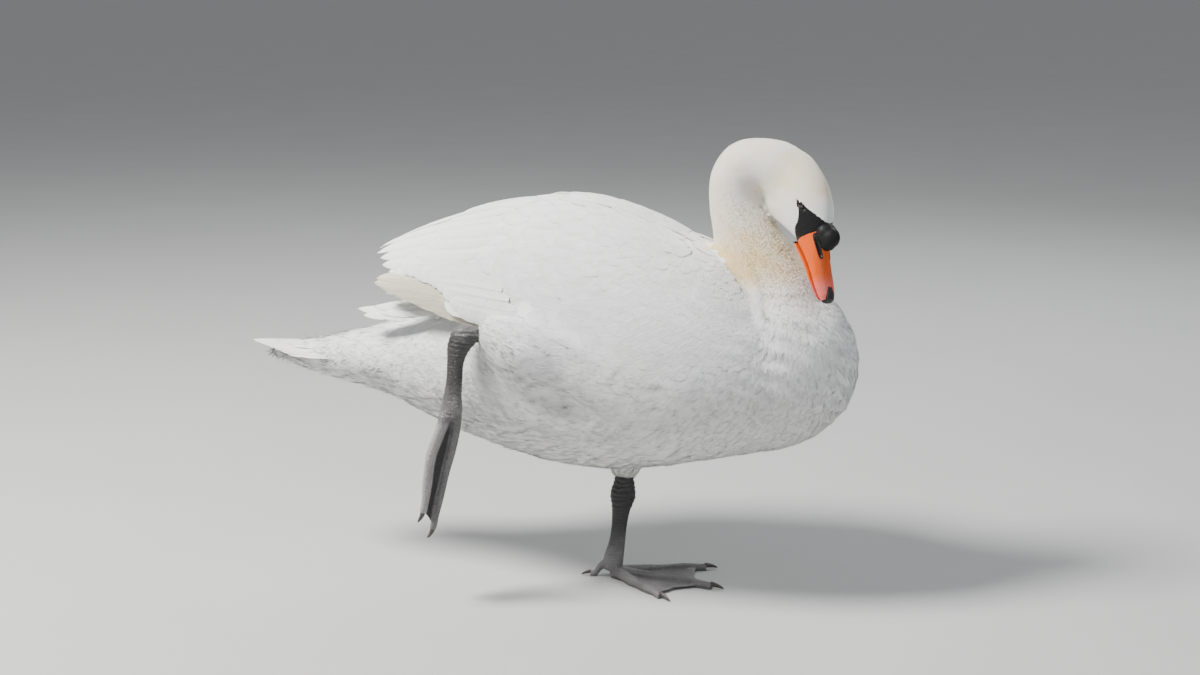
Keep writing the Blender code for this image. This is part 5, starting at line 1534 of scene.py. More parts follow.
def bill_rings(lo, hi, rows, n, grow=0.0):
    fine = smooth_rows(BILL, 400, True)
    out = []
    for b in np.linspace(lo, hi, rows):
        top, bottom, half = (np.interp(b, fine[:, 0], fine[:, k]) for k in (1, 2, 3))
        out.append(section(TIP - H_LONG * b, H_RIGHT, H_UP, half + grow, top + grow, bottom + grow, n, 2.1, 3.2))
    return np.array(out)


def sculpted_bill(lo, hi, rows, n, grow=0.0):
    rings = bill_rings(lo, hi, rows, n, grow)
    pts, faces = loft_data(rings)
    mesh_n = np.concatenate([unit(rings - rings.mean(1, keepdims=True)).reshape(-1, 3), np.zeros((2, 3))])
    b, u, r = head_coords(pts)
    h = np.zeros(len(pts))
    for way in (1.0, -1.0):
        d, t = segment_distance(pts, at_head(0.0745, 0.0158, 0.0130 * way), at_head(0.0560, 0.0126, 0.0090 * way))
        h -= 0.0028 * np.exp(-((d / 0.0017) ** 2))
        h += 0.0004 * np.exp(-(((d - 0.0040) / 0.0014) ** 2))
    # a shallow groove above the cutting edge, a faint ridge along the culmen
    depth = np.interp(b, [q[0] for q in BILL], [q[2] for q in BILL])
    h -= 0.00035 * np.exp(-(((u / depth + 0.62) / 0.10) ** 2)) * step(b, 0.010, 0.020)
    h += 0.00030 * np.exp(-((r / 0.0022) ** 2)) * (u > 0) * step(0.055 - b, 0.0, 0.02)
    h += 0.00010 * waves(pts, 51, 0.006)
    return pts + mesh_n * h[:, None], faces


simple("bill_upper_fine", sculpted_bill(0.0004, 0.0930, 210, 112), (BILL_MAT,), ("bill_upper",), bill_attrs)


def nail_plate():
    """The black shield at the tip: a thin domed plate let into the bill's end, hooked down over it."""
    fine = smooth_rows(BILL, 400, True)
    rows, cols = 46, 33
    b = 0.0003 + 0.0200 * (np.linspace(0, 1, rows) ** 1.3)
    top, bottom, half = (np.interp(b, fine[:, 0], fine[:, k]) for k in (1, 2, 3))
    reach = np.minimum(0.0089 * np.clip(1 - (b / 0.0206) ** 1.7, 0, 1) ** 0.62, half * 0.95)
    j = np.linspace(-1, 1, cols)
    r = reach[:, None] * j
    u = top[:, None] * (1 - (np.abs(r) / half[:, None]) ** 2.1) ** (1 / 2.1)
    p = at_head(b[:, None] + 0 * r, u, r)
    n = np.cross(np.gradient(p, axis=0), np.gradient(p, axis=1))
    n = unit(n * np.sign((n * (H_UP - 0.3 * -H_LONG)).sum(-1, keepdims=True)))
    rim = np.minimum(1 - np.abs(j)[None], (1 - np.linspace(0, 1, rows))[:, None] * 1.0)
    dome = 0.00105 * np.clip(rim * 3.2, 0, 1) ** 0.5 - 0.00035
    up = p + n * dome[..., None]
    low = p - n * 0.0011
    rings = np.concatenate([up, low[:, ::-1]], axis=1)
    return loft_data(rings)


simple("bill_nail_fine", nail_plate(), (NAIL_MAT,), ("bill_nail",))


def jaw():
    rings = []
    for back, top, bottom, half in smooth_rows(JAW, 110, True):
        if back > 0.0850:
            break
        mid, h = (top + bottom) / 2, (top - bottom) / 2
        rings.append(section(TIP - H_LONG * back + H_UP * mid, H_RIGHT, H_UP, half, h, h, 64, 2.6, 2.0))
    return loft_data(rings)


def jaw_attrs(p):
    b, u, r = head_coords(p)
    return {"dark": np.maximum(step(b, 0.0785, 0.0850), step(0.0035 - np.abs(r), 0.0, 0.0015) * 0.7), "pink": step(0.037 - b, 0.0, 0.022)}


simple("bill_lower_fine", jaw(), (BILL_MAT,), ("bill_lower",), jaw_attrs)


def knob_body():
    m = np.array((-H_LONG, H_RIGHT, H_UP)).T
    datas = []
    for back, up, right, radii in (
        (0.0738, 0.0252, 0.0, (0.0134, 0.0120, 0.0132)),
        (0.0665, 0.0205, 0.0, (0.0078, 0.0102, 0.0078)),
        (0.0815, 0.0236, 0.0, (0.0118, 0.0140, 0.0106)),
        (0.0865, 0.0190, 0.0, (0.0080, 0.0126, 0.0060)),
        (0.0790, 0.0215, 0.0030, (0.0140, 0.0104, 0.0110)),
        (0.0790, 0.0215, -0.0030, (0.0140, 0.0104, 0.0110)),
    ):
        pts, faces = loft_data(ball_rings(np.zeros(3), radii, 48, 32))
        datas.append((pts @ m.T + at_head(back, up, right), faces))
    v, q = remeshed(joined_mesh("knob", datas), 0.0009, 44)
    t = tris_of(q)
    n = vertex_normals(v, t)
    b, u, r = head_coords(v)
    # two low swellings with a faint parting between them
    h = -0.00045 * np.exp(-((r / 0.0016) ** 2)) * step(u, 0.028, 0.036) + 0.00010 * waves(v, 61, 0.009)
    return v + n * h[:, None], t


KNOB_V, KNOB_T = knob_body()
piece("bill_knob_fine", KNOB_V, KNOB_T, None, None, None, (KNOB_MAT,), replaces=("bill_knob",))

for word, kind, start, way, down, size in CLAWS:
    way, down = unit(way), unit(down - way * (down @ way))
    rows = []
    for i in range(13):
        u = i / 12
        q = start + way * (0.017 * size * (u - 0.22)) + down * (0.0042 * size * u * u)
        r = 0.0036 * size * math.sqrt(max(0.012, 1 - u * 0.985))
        rows.append((*q, r * 0.85, r))
    rings = tube_rings(rows, 30, 20, (0.05, 1, 0.02))
    rings[..., 2] = np.maximum(rings[..., 2], 0.0)
    simple("claw_" + word + "_" + kind + "_fine", loft_data(rings), (CLAW_MAT,), ("claw_" + word + "_" + kind,))


# ================================================================ the coat: body feathers
def is_neck_or_head(p):
    t, rho, angle, along = neck_coords(p)
    out, b, u, r = head_out(p)
    neck = (t > 0.20) & (rho < 1.50) & (p[:, 2] > 0.400) & (p[:, 0] > 0.110)
    return neck | (out < 1.6) & (p[:, 2] > 0.44) | (p[:, 2] > 0.517)


def on_wing(p):
    return (polygon_distance(p[:, 0], p[:, 2], WING_SHAPE) > 0) & (p[:, 2] > 0.30)


COAT = Surface(FORM_V + FORM.n * relief(FORM_V)[:, None], FORM.tris)
WING_COAT = Surface(WING_V + WINGS.n * relief(WING_V)[:, None], WINGS.tris)


def thigh_end(p):
    """How near the bare shank a thigh's feathers are, 0 to 1."""
    right = step(-p[:, 0], 0.055, 0.112) * step(-p[:, 1], 0.085, 0.125) * step(p[:, 2], 0.30, 0.32) * step(0.385 - p[:, 2], 0.0, 0.02)
    left = step(0.185 - p[:, 2], 0.0, 0.045) * step(p[:, 0], -0.03, 0.0) * step(0.085 - p[:, 0], 0.0, 0.02) * (p[:, 2] < 0.158)
    return np.maximum(right, left)


def body_length(p):
    x, y, z = p.T
    length = np.full(len(p), 0.0310)
    length += (0.0205 - length) * step(x, 0.130, 0.215)
    length += (0.0140 - length) * step(z, 0.350, 0.425) * step(x, 0.120, 0.160)
    length += (0.0265 - length) * step(0.205 - z, 0.0, 0.03) * step(0.20 - x, 0.0, 0.05)
    length += (0.0400 - length) * step(-x, 0.150, 0.260)
    length += (0.0520 - length) * step(-x, 0.330, 0.390)
    length += (0.0125 - length) * thigh_end(p)
    return length


def hidden_under_wing(p):
    return (p[:, 0] < -0.120) & (p[:, 2] > 0.392)


def sound(top, own, nj, length):
    """Feathers that lie well: none folded over, stretched or thrown across a crease."""
    face = (own * nj).sum(-1).min((1, 2))
    spine = top[:, :, top.shape[2] // 2]
    run = np.linalg.norm(np.diff(spine, axis=1), axis=-1).sum(1)
    return (face > 0.25) & (run < 1.35 * length + 0.001) & (run > 0.6 * length)


def body_coat():
    g = np.random.default_rng(101)

    def keep(p):
        # these run on a little way under the neck's own tufts
        low = p - np.array((0.0, 0.0, 0.016))
        under = (p[:, 2] > 0.400) & (p[:, 2] < 0.424) & (p[:, 0] > 0.110)
        return ~is_neck_or_head(np.where(under[:, None], low, p)) & ~on_wing(p) & ~hidden_under_wing(p)

    p, n, tri, w = scatter(COAT, keep, lambda q: body_length(q) * 0.225, 2.2, 7)
    way = unit((FORM_LIE[COAT.tris[tri]] * w[..., None]).sum(1))
    # strands of the lower breast, belly and flank wander a little from the lie
    cross = np.cross(n, way)
    x, y, z = p.T
    loose = step(0.345 - z, 0.0, 0.06)
    turn = 0.06 + 0.10 * loose
    way = unit(way + cross * (turn * g.normal(0, 1, len(p)) + 0.20 * loose * waves(p, 71, 0.06))[:, None])
    length = body_length(p) * g.uniform(1.15, 1.50, len(p))
    width = length * g.uniform(0.34, 0.46, len(p))
    length = np.where(x < -0.30, np.minimum(length, np.maximum(0.012, x + 0.462)), length)
    rows_u, rows_w = (0.0, 0.28, 0.58, 0.84, 1.0), (0.35, 0.86, 1.0, 0.74, 0.16)
    top, normal, form, own = vanes(
        COAT, p, n, way, length, width, rows_u, rows_w, 3,
        root_sink=length * 0.050 + 0.0006, tip_lift=length * g.uniform(0.0005, 0.006, len(p)) + 0.00012, camber=width * 0.022,
        roll=g.normal(0, 0.00007, len(p)), bend=g.normal(0, 0.10, len(p)),
    )
    soft = unit(form * 0.92 + own * 0.08)
    uv0, st, tone = spine_uv(p), stain(p), g.random(len(p))
    top[..., 2] = np.maximum(top[..., 2], 0.02)
    fine = sound(top, own, form, length)
    flank = (x > -0.17) & (x < 0.135)
    region = np.where(x < -0.17, 3, np.where(flank, np.where(y < 0, 1, 2), np.where(y < 0, 0, 4)))
    region[~fine | (x < -0.428)] = -1
    names = ("coat_breast_right", "coat_flank_right", "coat_flank_left", "coat_tail_coverts", "coat_breast_left")
    for k, name in enumerate(names):
        pick = np.nonzero(region == k)[0]
        batch = Batch()
        add_vanes(batch, top[pick], soft[pick], uv0[pick], length[pick], width[pick], rows_u, stain=st[pick], tone=tone[pick], shade=np.zeros(len(pick)))
        each = 18 if len(pick) * (24 + 72) < 190000 else 12
        add_barbs(batch, top[pick], n[pick], each, length[pick] * (0.20 + 0.12 * loose[pick]), uv0[pick], g, spread=0.60, rows_u=rows_u, stain=st[pick], tone=tone[pick], shade=np.zeros(len(pick)))
        batch.make(name, (COAT_BODY,))
    return len(p)


print("body feathers", body_coat())


# ================================================================ the coat: velvet of neck and head
RIDGE = 0.0044


def ridge_band(p):
    t, rho, angle, along = neck_coords(p)
    return step(t, 0.20, 0.32) * step(0.80 - t, 0.0, 0.20)


def ridge_phase(p):
    t, rho, angle, along = neck_coords(p)
    run = t * 0.387 + along + 0.0075 * waves(p, 12, 0.060) + 0.0011 * waves(p, 13, 0.018) + 0.004 * np.cos(angle)
    return run * (2 * math.pi / RIDGE)


def ridge_lift(p):
    """Fine wavy ridges across the neck."""
    return ridge_band(p) * 0.00019 * np.sin(ridge_phase(p))


def tuft_length(p):
    out, b, u, r = head_out(p)
    t, rho, angle, along = neck_coords(p)
    length = 0.0115 - 0.0040 * ridge_band(p) + 0.0060 * step(0.30 - t, 0.0, 0.12)
    head = (out < 1.5) & (b < 0.185)
    face = np.clip(-lore_inside(p), 0, 0.03)
    near = 0.0036 + 0.0054 * step(face, 0.0, 0.024)
    near = np.minimum(near, 0.0026 + 0.30 * np.clip(eye_reach(p) - 0.009, 0, 1))
    return np.where(head, near, length)


def fine_coat():
    g = np.random.default_rng(202)

    def keep(p):
        bare = (lore_inside(p) > -0.0002) | (head_out(p)[0] < 1.5) & (head_coords(p)[0] < 0.0870) | eye_bare(p)
        return is_neck_or_head(p) & ~bare

    def spacing(p):
        return 0.00058 + 0.040 * tuft_length(p)

    for surface, name, zone, seed in (
        (BLENDED[0], "coat_head", lambda q: (head_out(q)[0] < 1.5) & (head_coords(q)[0] < 0.150) & (head_coords(q)[0] > 0.0835), 11),
        (BLENDED[0], "coat_neck", lambda q: ~((head_out(q)[0] < 1.5) & (head_coords(q)[0] < 0.150)), 12),
    ):
        p, n, tri, w = scatter(surface, lambda q: keep(q) & zone(q), spacing, 2.0, seed)
        pos, _, face = FORM.near(p)
        way = unit(FORM.value(FORM_LIE, pos, face))
        way = unit(way - n * (way * n).sum(1, keepdims=True))
        # tufts part round the eye and the bare lores
        cross = np.cross(n, way)
        way = unit(way + cross * (g.normal(0, 0.055, len(p)) + 0.10 * waves(p, 81, 0.030))[:, None])
        length = tuft_length(p) * g.uniform(0.8, 1.2, len(p))
        low = step(p[:, 2], 0.400, 0.430)
        fuzz = g.uniform(0.1, 1.0, len(p)) * (0.00012 + 0.014 * length) * (0.4 + 0.6 * low)
        hw = 0.00074 + 0.084 * length
        mid, mn, _ = surface.near(p + way * (length * 0.42)[:, None])
        tip, tn, _ = surface.near(p + way * length[:, None])
        run = np.linalg.norm(tip - p, axis=1)
        good = ((n * tn).sum(1) > 0.70) & (run > 0.6 * length) & (run < 1.25 * length)
        p, n, way, length, fuzz, hw, mid, mn, tip, tn = (q[good] for q in (p, n, way, length, fuzz, hw, mid, mn, tip, tn))
        bumpy = 0.00008 * waves(p, 82, 0.016)
        lift = ridge_lift(mid) + bumpy
        tilt = 1.25 * (ridge_lift(mid + way * 0.0005) - ridge_lift(mid - way * 0.0005)) / 0.0010
        tip_lift = ridge_lift(tip) + bumpy
        tip_tilt = 1.25 * (ridge_lift(tip + way * 0.0005) - ridge_lift(tip - way * 0.0005)) / 0.0010
        cross = unit(np.cross(mn, way))
        root = p - n * (0.0010 - lift)[:, None]
        m = mid + mn * (lift + 0.10 * fuzz)[:, None]
        a = m - cross * hw[:, None] - mn * 0.00010
        b = m + cross * hw[:, None] - mn * 0.00010
        c = m + mn * (0.00010 + 0.10 * hw)[:, None]
        d = tip + tn * (tip_lift + fuzz)[:, None]
        v = np.stack([root, a, b, c, d], 1)
        sn = mn - way * tilt[:, None] + g.normal(0, 0.025, mn.shape)
        dn = tn - way * tip_tilt[:, None] + g.normal(0, 0.025, mn.shape)
        soft = np.stack([sn, sn - cross * 0.10, sn + cross * 0.10, sn, dn], 1)
        t = np.array([(0, 1, 3), (0, 3, 2), (0, 2, 1), (4, 3, 1), (4, 2, 3), (4, 1, 2)])
        tris = t[None] + (np.arange(len(p)) * 5)[:, None, None]
        uv0 = spine_uv(p)
        uv = uv0[:, None] + np.array([(-0.0015, 0), (0, -0.0008), (0, 0.0008), (0.0002, 0), (0.0015, 0)])
        st, tone = stain(p), g.random(len(p))
        batch = Batch()
        batch.add(v, tris, uv, np.zeros((len(p), 5, 2)), soft=soft, stain=np.repeat(st, 5), tone=np.repeat(tone, 5), shade=np.zeros(len(p) * 5))
        batch.make(name, (COAT_FINE,))


fine_coat()


# ================================================================ the coat: folded wings
_MANTLE = smooth_rows([(x, top, half, mid, groove) for x, top, half, mid, groove in MANTLE], 400, True)


def mantle_points(x, angle, inset, side):
    """On the folded wings' outer surface or inset under it; angle in degrees, 0 the flank, 90 the top."""
    top, half, mid, groove = (np.interp(x, _MANTLE[:, 0], _MANTLE[:, k]) for k in (1, 2, 3, 4))
    a = np.radians(angle)
    y = (half - inset) * power(np.cos(a), 2.15)
    z = mid + (top - mid - inset) * power(np.sin(a), 2.15)
    z = z - groove * np.exp(-((y / 0.030) ** 2))
    return np.stack([x, y * side, z], -1)


def covert_length(p):
    x, y, z = p.T
    back = step(-x, -0.21, 0.12)
    d, rise = wing_edge(p)
    rim = step(0.040 - d, 0.0, 0.034) * step(rise, 0.1, 0.5)
    return (0.021 + 0.050 * back) * (1 - 0.52 * rim)


def covert_edge(angle):
    """How far back the coverts reach round the wing."""
    return np.interp(angle, (10.0, 14.5, 16.7, 23.0, 27.8, 31.3, 34.4, 44.0, 56.0, 68.0, 80.0, 90.0), (-0.140, -0.151, -0.161, -0.170, -0.189, -0.212, -0.236, -0.228, -0.218, -0.208, -0.200, -0.196))


def wing_angle(p):
    mid = np.interp(p[:, 0], _MANTLE[:, 0], _MANTLE[:, 3])
    half = np.interp(p[:, 0], _MANTLE[:, 0], _MANTLE[:, 2])
    top = np.interp(p[:, 0], _MANTLE[:, 0], _MANTLE[:, 1])
    c, s = np.clip(np.abs(p[:, 1]) / half, 0, 1) ** 1.075, np.clip((p[:, 2] - mid) / (top - mid), 0, 1) ** 1.075
    return np.degrees(np.arctan2(s, c))


COVERT_U = (0.0, 0.20, 0.42, 0.62, 0.78, 0.89, 0.96, 1.0)
COVERT_W = (0.45, 0.80, 0.96, 1.0, 0.92, 0.72, 0.45, 0.10)


def wing_coat():
    g = np.random.default_rng(303)

    def keep(p):
        reach = covert_edge(wing_angle(p))
        tip = p[:, 0] - 0.80 * covert_length(p)
        return on_wing(p) & ~is_neck_or_head(p) & (tip > reach)

    p, n, tri, w = scatter(WING_COAT, keep, lambda q: covert_length(q) * 0.235, 2.4, 17)
    way = unit((WING_LIE[WING_COAT.tris[tri]] * w[..., None]).sum(1))
    cross = np.cross(n, way)
    way = unit(way + cross * (g.normal(0, 0.035, len(p)))[:, None])
    length = covert_length(p) * g.uniform(0.94, 1.08, len(p))
    width = length * (0.66 - 0.22 * step(length, 0.03, 0.07)) * g.uniform(0.94, 1.06, len(p))
    top, normal, form, own = vanes(
        WING_COAT, p, n, way, length, width, COVERT_U, COVERT_W, 7,
        root_sink=length * 0.036 + 0.0004, tip_lift=length * 0.0012 + g.uniform(0.00005, 0.00025, len(p)), camber=width * 0.010,
        roll=g.normal(0, 0.00008, len(p)), bend=g.normal(0, 0.04, len(p)),
    )
    soft = unit(form * 0.76 + own * 0.24)
    fine = sound(top, own, form, length)
    uv0, st, tone = spine_uv(p), stain(p) * 0.3, g.random(len(p))
    for name, pick in (("coat_wing_right", p[:, 1] < 0), ("coat_wing_left", p[:, 1] >= 0)):
        batch = Batch()
        k = np.nonzero(pick & fine)[0]
        add_vanes(batch, top[k], soft[k], uv0[k], length[k], width[k], COVERT_U, stain=st[k], tone=tone[k], shade=np.zeros(len(k)))
        add_barbs(batch, top[k], n[k], 12, length[k] * 0.055 + 0.0008, uv0[k], g, spread=0.45, rows_u=COVERT_U, stain=st[k], tone=tone[k], shade=np.zeros(len(k)))
        batch.make(name, (COAT_WING,))
    return len(p)


print("coverts", wing_coat())


def quill(batch, centre, normal, side, half, thick, camber, g, tone, st, shade, cols=13, splits=3, ridge=0.0006):
    """One long flight or tail feather: an upper and a lower face that meet at the margins, with a raised shaft."""
    m = len(centre)
    u = np.linspace(0, 1, m)
    length = np.linalg.norm(np.diff(centre, axis=0), axis=1).sum()
    rim = np.ones((m, 2))
    rim *= 1 + 0.012 * np.sin(u[:, None] * 31 + g.uniform(0, 6, 2)) + g.normal(0, 0.006, (m, 2))
    for _ in range(splits):
        at, sd, deep = g.uniform(0.45, 0.93), g.integers(0, 2), g.uniform(0.05, 0.17)
        rim[:, sd] -= deep * np.exp(-(((u - at) / 0.012) ** 2))
    j = np.linspace(-1, 1, cols)
    scale = np.where(j[None] < 0, rim[:, :1], rim[:, 1:])
    top = centre[:, None] + side[:, None] * (j[None] * half[:, None] * scale)[..., None]
    arch = camber * (1 - j**2)[None] * np.minimum(1, half / max(half.max(), 1e-9))[:, None]
    fine = 0.00012 * g.normal(0, 1, (m, 1)) * (1 - j**2)[None]
    shaft = ridge * np.exp(-((j / 0.10) ** 2))[None] * (1 - 0.8 * u)[:, None]
    body = (1 - j**2)[None] * thick * 0.5
    up = top + normal[:, None] * (arch + fine + shaft + body)[..., None]
    low = top + normal[:, None] * (arch - body - shaft * 0.7)[..., None]
    uv0 = spine_uv(centre[:1])
    for part, flip in ((up, False), (low, True)):
        uv = uv0 + np.stack([(u[:, None] - 0.5) * 0.003 + 0 * j[None], 0.0015 * j[None] + 0 * u[:, None]], -1)
        vane = np.stack([u[:, None] * length + 0 * j[None], j[None] * half[:, None]], -1) * 10.0
        batch.add(part[None], grid_tris(1, m, cols, flip), uv, vane, stain=st, tone=tone, shade=np.broadcast_to(shade, (m, cols)) + 0.0, along=np.broadcast_to(u[:, None], (m, cols)) + 0.0)


LANCET = ((0.0, 0.30), (0.20, 0.70), (0.45, 0.96), (0.60, 1.0), (0.75, 0.90), (0.86, 0.68), (0.94, 0.42), (0.985, 0.18), (1.0, 0.05))
QUILL_PROFILE = ((0.0, 0.30), (0.15, 0.62), (0.35, 0.88), (0.60, 1.0), (0.80, 0.95), (0.90, 0.80), (0.96, 0.56), (0.99, 0.30), (1.0, 0.10))


def mantle_quill(batch, side, root, tip, width, inset, g, tone, st, shade, rows=44, bow=0.0, lift=0.0, profile=QUILL_PROFILE):
    u = np.linspace(0, 1, rows)
    x = root[0] + (tip[0] - root[0]) * u
    angle = root[1] + (tip[1] - root[1]) * u + bow * np.sin(np.pi * u)
    depth = inset[0] + (inset[1] - inset[0]) * u
    centre = mantle_points(x, angle, depth, side)
    ahead = unit(np.gradient(centre, axis=0))
    across = unit(mantle_points(x, angle + 2.0, depth, side) - mantle_points(x, angle - 2.0, depth, side))
    across = unit(across - ahead * (across * ahead).sum(1, keepdims=True))
    normal = unit(np.cross(ahead, across))
    out = centre - np.stack([x, 0 * x, np.interp(x, _MANTLE[:, 0], _MANTLE[:, 3])], -1)
    flip = (normal * out).sum(1) < 0
    normal[flip] *= -1
    across = np.cross(normal, ahead)
    half = 0.5 * width * np.interp(u, *zip(*profile))
    curve = half.max() ** 2 / 0.26
    centre = centre + normal * (lift * u**2)[:, None]
    quill(batch, centre, normal, across, half, 0.0007, curve + 0.0010, g, tone, st, shade)


def flight_feathers():
    for side, word in ((-1, "right"), (1, "left")):
        g = np.random.default_rng(404)
        batch = Batch()
        # the secondaries under the tertials' lower edge: buff from stain, and grey-buff from painted shade as if the
        # tertials shadowed them
        for k, (tx, ta, rx, ra) in enumerate(((-0.205, 13.5, -0.085, 10.0), (-0.230, 15.0, -0.090, 12.0), (-0.250, 17.0, -0.092, 14.0), (-0.262, 19.0, -0.095, 16.5), (-0.271, 22.0, -0.100, 19.0), (-0.268, 26.0, -0.100, 23.0))):
            mantle_quill(batch, side, (rx, ra), (tx, ta), 0.026, (0.0052 - 0.0004 * k, 0.0046 - 0.0006 * k), g, g.random(), 0.46, 0.95, profile=LANCET)
        # tertials, from the outermost to the one by the back's middle
        for k, (tx, ta, rx, ra, wide) in enumerate(((-0.250, 31.0, -0.100, 27.0, 0.032), (-0.262, 38.0, -0.095, 35.0, 0.030), (-0.268, 46.5, -0.095, 45.0, 0.029), (-0.276, 56.0, -0.092, 56.0, 0.029), (-0.272, 66.0, -0.090, 66.0, 0.029), (-0.281, 75.5, -0.086, 76.5, 0.030), (-0.266, 83.5, -0.084, 85.0, 0.028))):
            mantle_quill(batch, side, (rx, ra), (tx, ta), wide, (0.0036 - 0.00035 * k, 0.0022 - 0.00022 * k), g, g.random(), 0.04, 0.0, bow=g.uniform(-0.8, 0.8), lift=g.uniform(0.0005, 0.0016), profile=LANCET)
        # greater coverts and hindmost scapulars end in a jagged line over them
        for k, (tx, ta) in enumerate(((-0.151, 14.5), (-0.161, 17.5), (-0.171, 21.5), (-0.181, 25.0), (-0.196, 28.5), (-0.214, 31.5), (-0.232, 35.0), (-0.214, 40.5), (-0.203, 47.5), (-0.190, 54.5), (-0.194, 61.5), (-0.182, 68.5), (-0.186, 75.5), (-0.176, 82.5))):
            mantle_quill(batch, side, (tx + 0.088, ta - 1.5 * (k < 6)), (tx, ta), 0.033, (0.0014, -0.0006), g, g.random(), 0.02, 0.0, bow=g.uniform(-0.6, 0.6), lift=0.0004)
        batch.make("tertials_" + word + "_fine", (COAT_QUILL,), ("tertials_" + word,))
        # the folded primaries
        batch = Batch()
        rows = smooth_rows([(x, y * side, z, t, h) for x, y, z, t, h in PRIMARIES], 60)
        _, _, s_all, u_all = tube_frames([(x, y * side, z, t, h) for x, y, z, t, h in PRIMARIES], 60, (0.15, 0.80 * side, 0.60))
        for k, (tip_x, drop, out, wide) in enumerate(((-0.303, 0.0000, -0.0006, 0.0200), (-0.291, -0.0085, 0.0002, 0.0190), (-0.280, 0.0040, 0.0010, 0.0190), (-0.266, -0.0060, 0.0018, 0.0180), (-0.250, 0.0020, 0.0026, 0.0180), (-0.232, -0.0080, 0.0033, 0.0170))):
            n = 40
            x = np.linspace(-0.115, tip_x, n)
            order = -rows[:, 0]
            c = np.stack([np.interp(-x, order, rows[:, i]) for i in range(3)], -1)
            s = unit(np.stack([np.interp(-x, order, s_all[:, i]) for i in range(3)], -1))
            up = unit(np.stack([np.interp(-x, order, u_all[:, i]) for i in range(3)], -1))
            u = np.linspace(0, 1, n)
            centre = c + s * out + up * (drop * step(u, 0.2, 1.0) * (1 if up[:, 2].mean() > 0 else -1))[:, None]
            half = 0.5 * wide * np.interp(u, *zip(*LANCET))
            # the primaries carry a trace of painted shade
            quill(batch, centre, s, np.cross(s, unit(np.gradient(centre, axis=0))), half, 0.0008, 0.0006, g, g.random(), 0.05, 0.05)
        batch.make("primaries_" + word + "_fine", (COAT_QUILL,), ("primaries_" + word,))
    # tail
    g = np.random.default_rng(505)
    batch = Batch()
    count = 15
    for k in sorted(range(count), key=lambda i: -abs(i - count // 2)):
        v = -1 + 2 * k / (count - 1)
        n = 44
        u = np.linspace(0, 1, n)
        tip = TAIL_FAN_TIP + 0.001 + 0.060 * abs(v) ** 1.3
        x = TAIL_FAN_ROOT + (tip - TAIL_FAN_ROOT) * u
        half_fan = 0.028 + 0.021 * np.sin(np.pi * np.minimum(1.0, u * 0.62))
        y = half_fan * v * (1 - 0.28 * u**3) * 0.90
        z = TAIL_FAN_HEIGHT - 0.006 * v * v + 0.001 * u + 0.0016 * (1 - abs(v)) - 0.0004
        centre = np.stack([x, y, z + 0 * x], -1)
        ahead = unit(np.gradient(centre, axis=0))
        normal = unit(np.array((0.0, 0.16 * v, 1.0)))[None] - ahead * (ahead @ unit(np.array((0.0, 0.16 * v, 1.0))))[:, None]
        normal = unit(normal)
        half = 0.5 * 0.0225 * np.interp(u, *zip(*QUILL_PROFILE))
        # the tail feathers carry a trace of painted shade
        quill(batch, centre, normal, np.cross(normal, ahead), half, 0.0008, 0.0008, g, g.random(), 0.10, 0.06)
    # upper tail coverts run out over the fan in three ragged rows
    for row, (reach, lift, many) in enumerate(((-0.412, 0.0022, 9), (-0.393, 0.0036, 10), (-0.371, 0.0052, 11))):
        for k in range(many):
            v = (-1 + 2 * (k + 0.5 * (row % 2)) / (many - 1)) * 0.98
            if abs(v) > 1.0:
                continue
            n = 30
            u = np.linspace(0, 1, n)
            tip = reach + 0.030 * abs(v) ** 1.4 + g.uniform(-0.005, 0.005)
            x = tip + 0.085 * (1 - u)
            f = np.clip((TAIL_FAN_ROOT - x) / (TAIL_FAN_ROOT - TAIL_FAN_TIP), 0, 1)
            y = (0.028 + 0.021 * np.sin(np.pi * np.minimum(1.0, f * 0.62)) + 0.002) * v * 0.92
            z = TAIL_FAN_HEIGHT - 0.006 * v * v + 0.0016 * (1 - abs(v)) + lift * (1 - 0.45 * u) + 0.0006 * g.normal()
            centre = np.stack([x, y, z], -1)
            ahead = unit(np.gradient(centre, axis=0))
            up = unit(np.array((0.0, 0.22 * v, 1.0)))
            normal = unit(up[None] - ahead * (ahead @ up)[:, None])
            half = 0.5 * 0.0190 * np.interp(u, *zip(*LANCET))
            quill(batch, centre, normal, np.cross(normal, ahead), half, 0.0006, 0.0014, g, g.random(), 0.05, 0.0, cols=9, splits=4, ridge=0.0003)
    batch.make("tail_feathers_fine", (COAT_QUILL,), ("tail_feathers",))


flight_feathers()


# ================================================================ camera, floor and light
def aim(obj, at):
    obj.rotation_euler = (Vector(at) - obj.location).to_track_quat("-Z", "Y").to_euler()


AZ, EL, DISTANCE = math.radians(12.0), math.radians(12.0), 2.2
AIM = Vector((0.0, 0.0, 0.320)) + Vector(SHIFT)
cam_data = bpy.data.cameras.new("camera")
cam_data.lens = 51.96
cam_data.sensor_width = 36.0
cam_data.clip_start = 0.05
cam = bpy.data.objects.new("camera", cam_data)
cam.location = AIM + DISTANCE * Vector((math.sin(AZ) * math.cos(EL), -math.cos(AZ) * math.cos(EL), math.sin(EL)))
bpy.context.scene.collection.objects.link(cam)
aim(cam, AIM)
bpy.context.scene.camera = cam


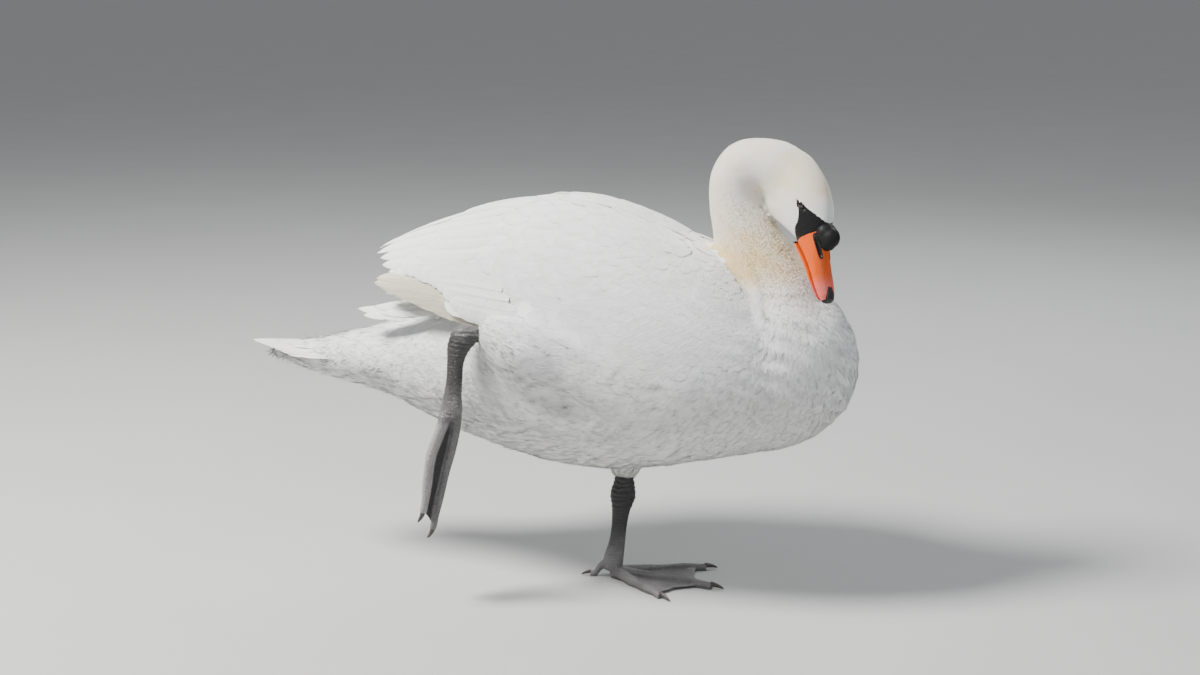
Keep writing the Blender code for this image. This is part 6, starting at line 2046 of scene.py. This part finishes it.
def floor_material():
    m, nt, s, nodes, links = new_material("studio_floor")
    links.new(ramp(nodes, links, noise(nodes, links, 3.0, 5.0), ((0.0, (0.44, 0.445, 0.44)), (1.0, (0.49, 0.495, 0.49)))), s.inputs["Base Color"])
    links.new(maths(nodes, links, "MULTIPLY_ADD", noise(nodes, links, 40.0), 0.15, 0.70), s.inputs["Roughness"])
    s.inputs["Specular IOR Level"].default_value = 0.2
    bump(nodes, links, s, noise(nodes, links, 220.0, 3.0), 0.0004, 0.3)
    return m


def studio_floor():
    """A wide level disc, so no edge of it comes into the picture."""
    n = 96
    verts = [(0.0, 0.0, 0.0)]
    for r in (1.0, 4.0, 16.0, 90.0):
        verts += [(r * math.cos(2 * math.pi * k / n), r * math.sin(2 * math.pi * k / n), 0.0) for k in range(n)]
    faces = [(0, 1 + k, 1 + (k + 1) % n) for k in range(n)]
    for i in range(3):
        a, b = 1 + i * n, 1 + (i + 1) * n
        faces += [(a + k, b + k, b + (k + 1) % n, a + (k + 1) % n) for k in range(n)]
    mesh = bpy.data.meshes.new("studio_floor")
    mesh.from_pydata(verts, [], faces)
    mesh.materials.append(floor_material())
    obj = bpy.data.objects.new("studio_floor", mesh)
    bpy.context.scene.collection.objects.link(obj)


studio_floor()


def light(name, place, at, size, watts, colour):
    data = bpy.data.lights.new(name, "AREA")
    data.shape = "DISK"
    data.size = size
    data.energy = watts
    data.color = colour
    obj = bpy.data.objects.new(name, data)
    obj.location = place
    bpy.context.scene.collection.objects.link(obj)
    aim(obj, at)


MIDDLE = (0.05, 0.0, 0.33)
light("key", (-1.55, -1.05, 2.75), MIDDLE, 0.95, 275.0, (1.0, 0.985, 0.955))
light("fill", (2.4, -1.5, 1.5), MIDDLE, 2.2, 20.0, (0.93, 0.965, 1.0))
light("back", (0.9, 2.2, 2.2), MIDDLE, 1.6, 34.0, (0.97, 0.985, 1.0))

world = bpy.data.worlds.new("studio")
world.use_nodes = True
world.node_tree.nodes["Background"].inputs["Color"].default_value = (0.93, 0.96, 1.0, 1.0)
world.node_tree.nodes["Background"].inputs["Strength"].default_value = 0.40
bpy.context.scene.world = world
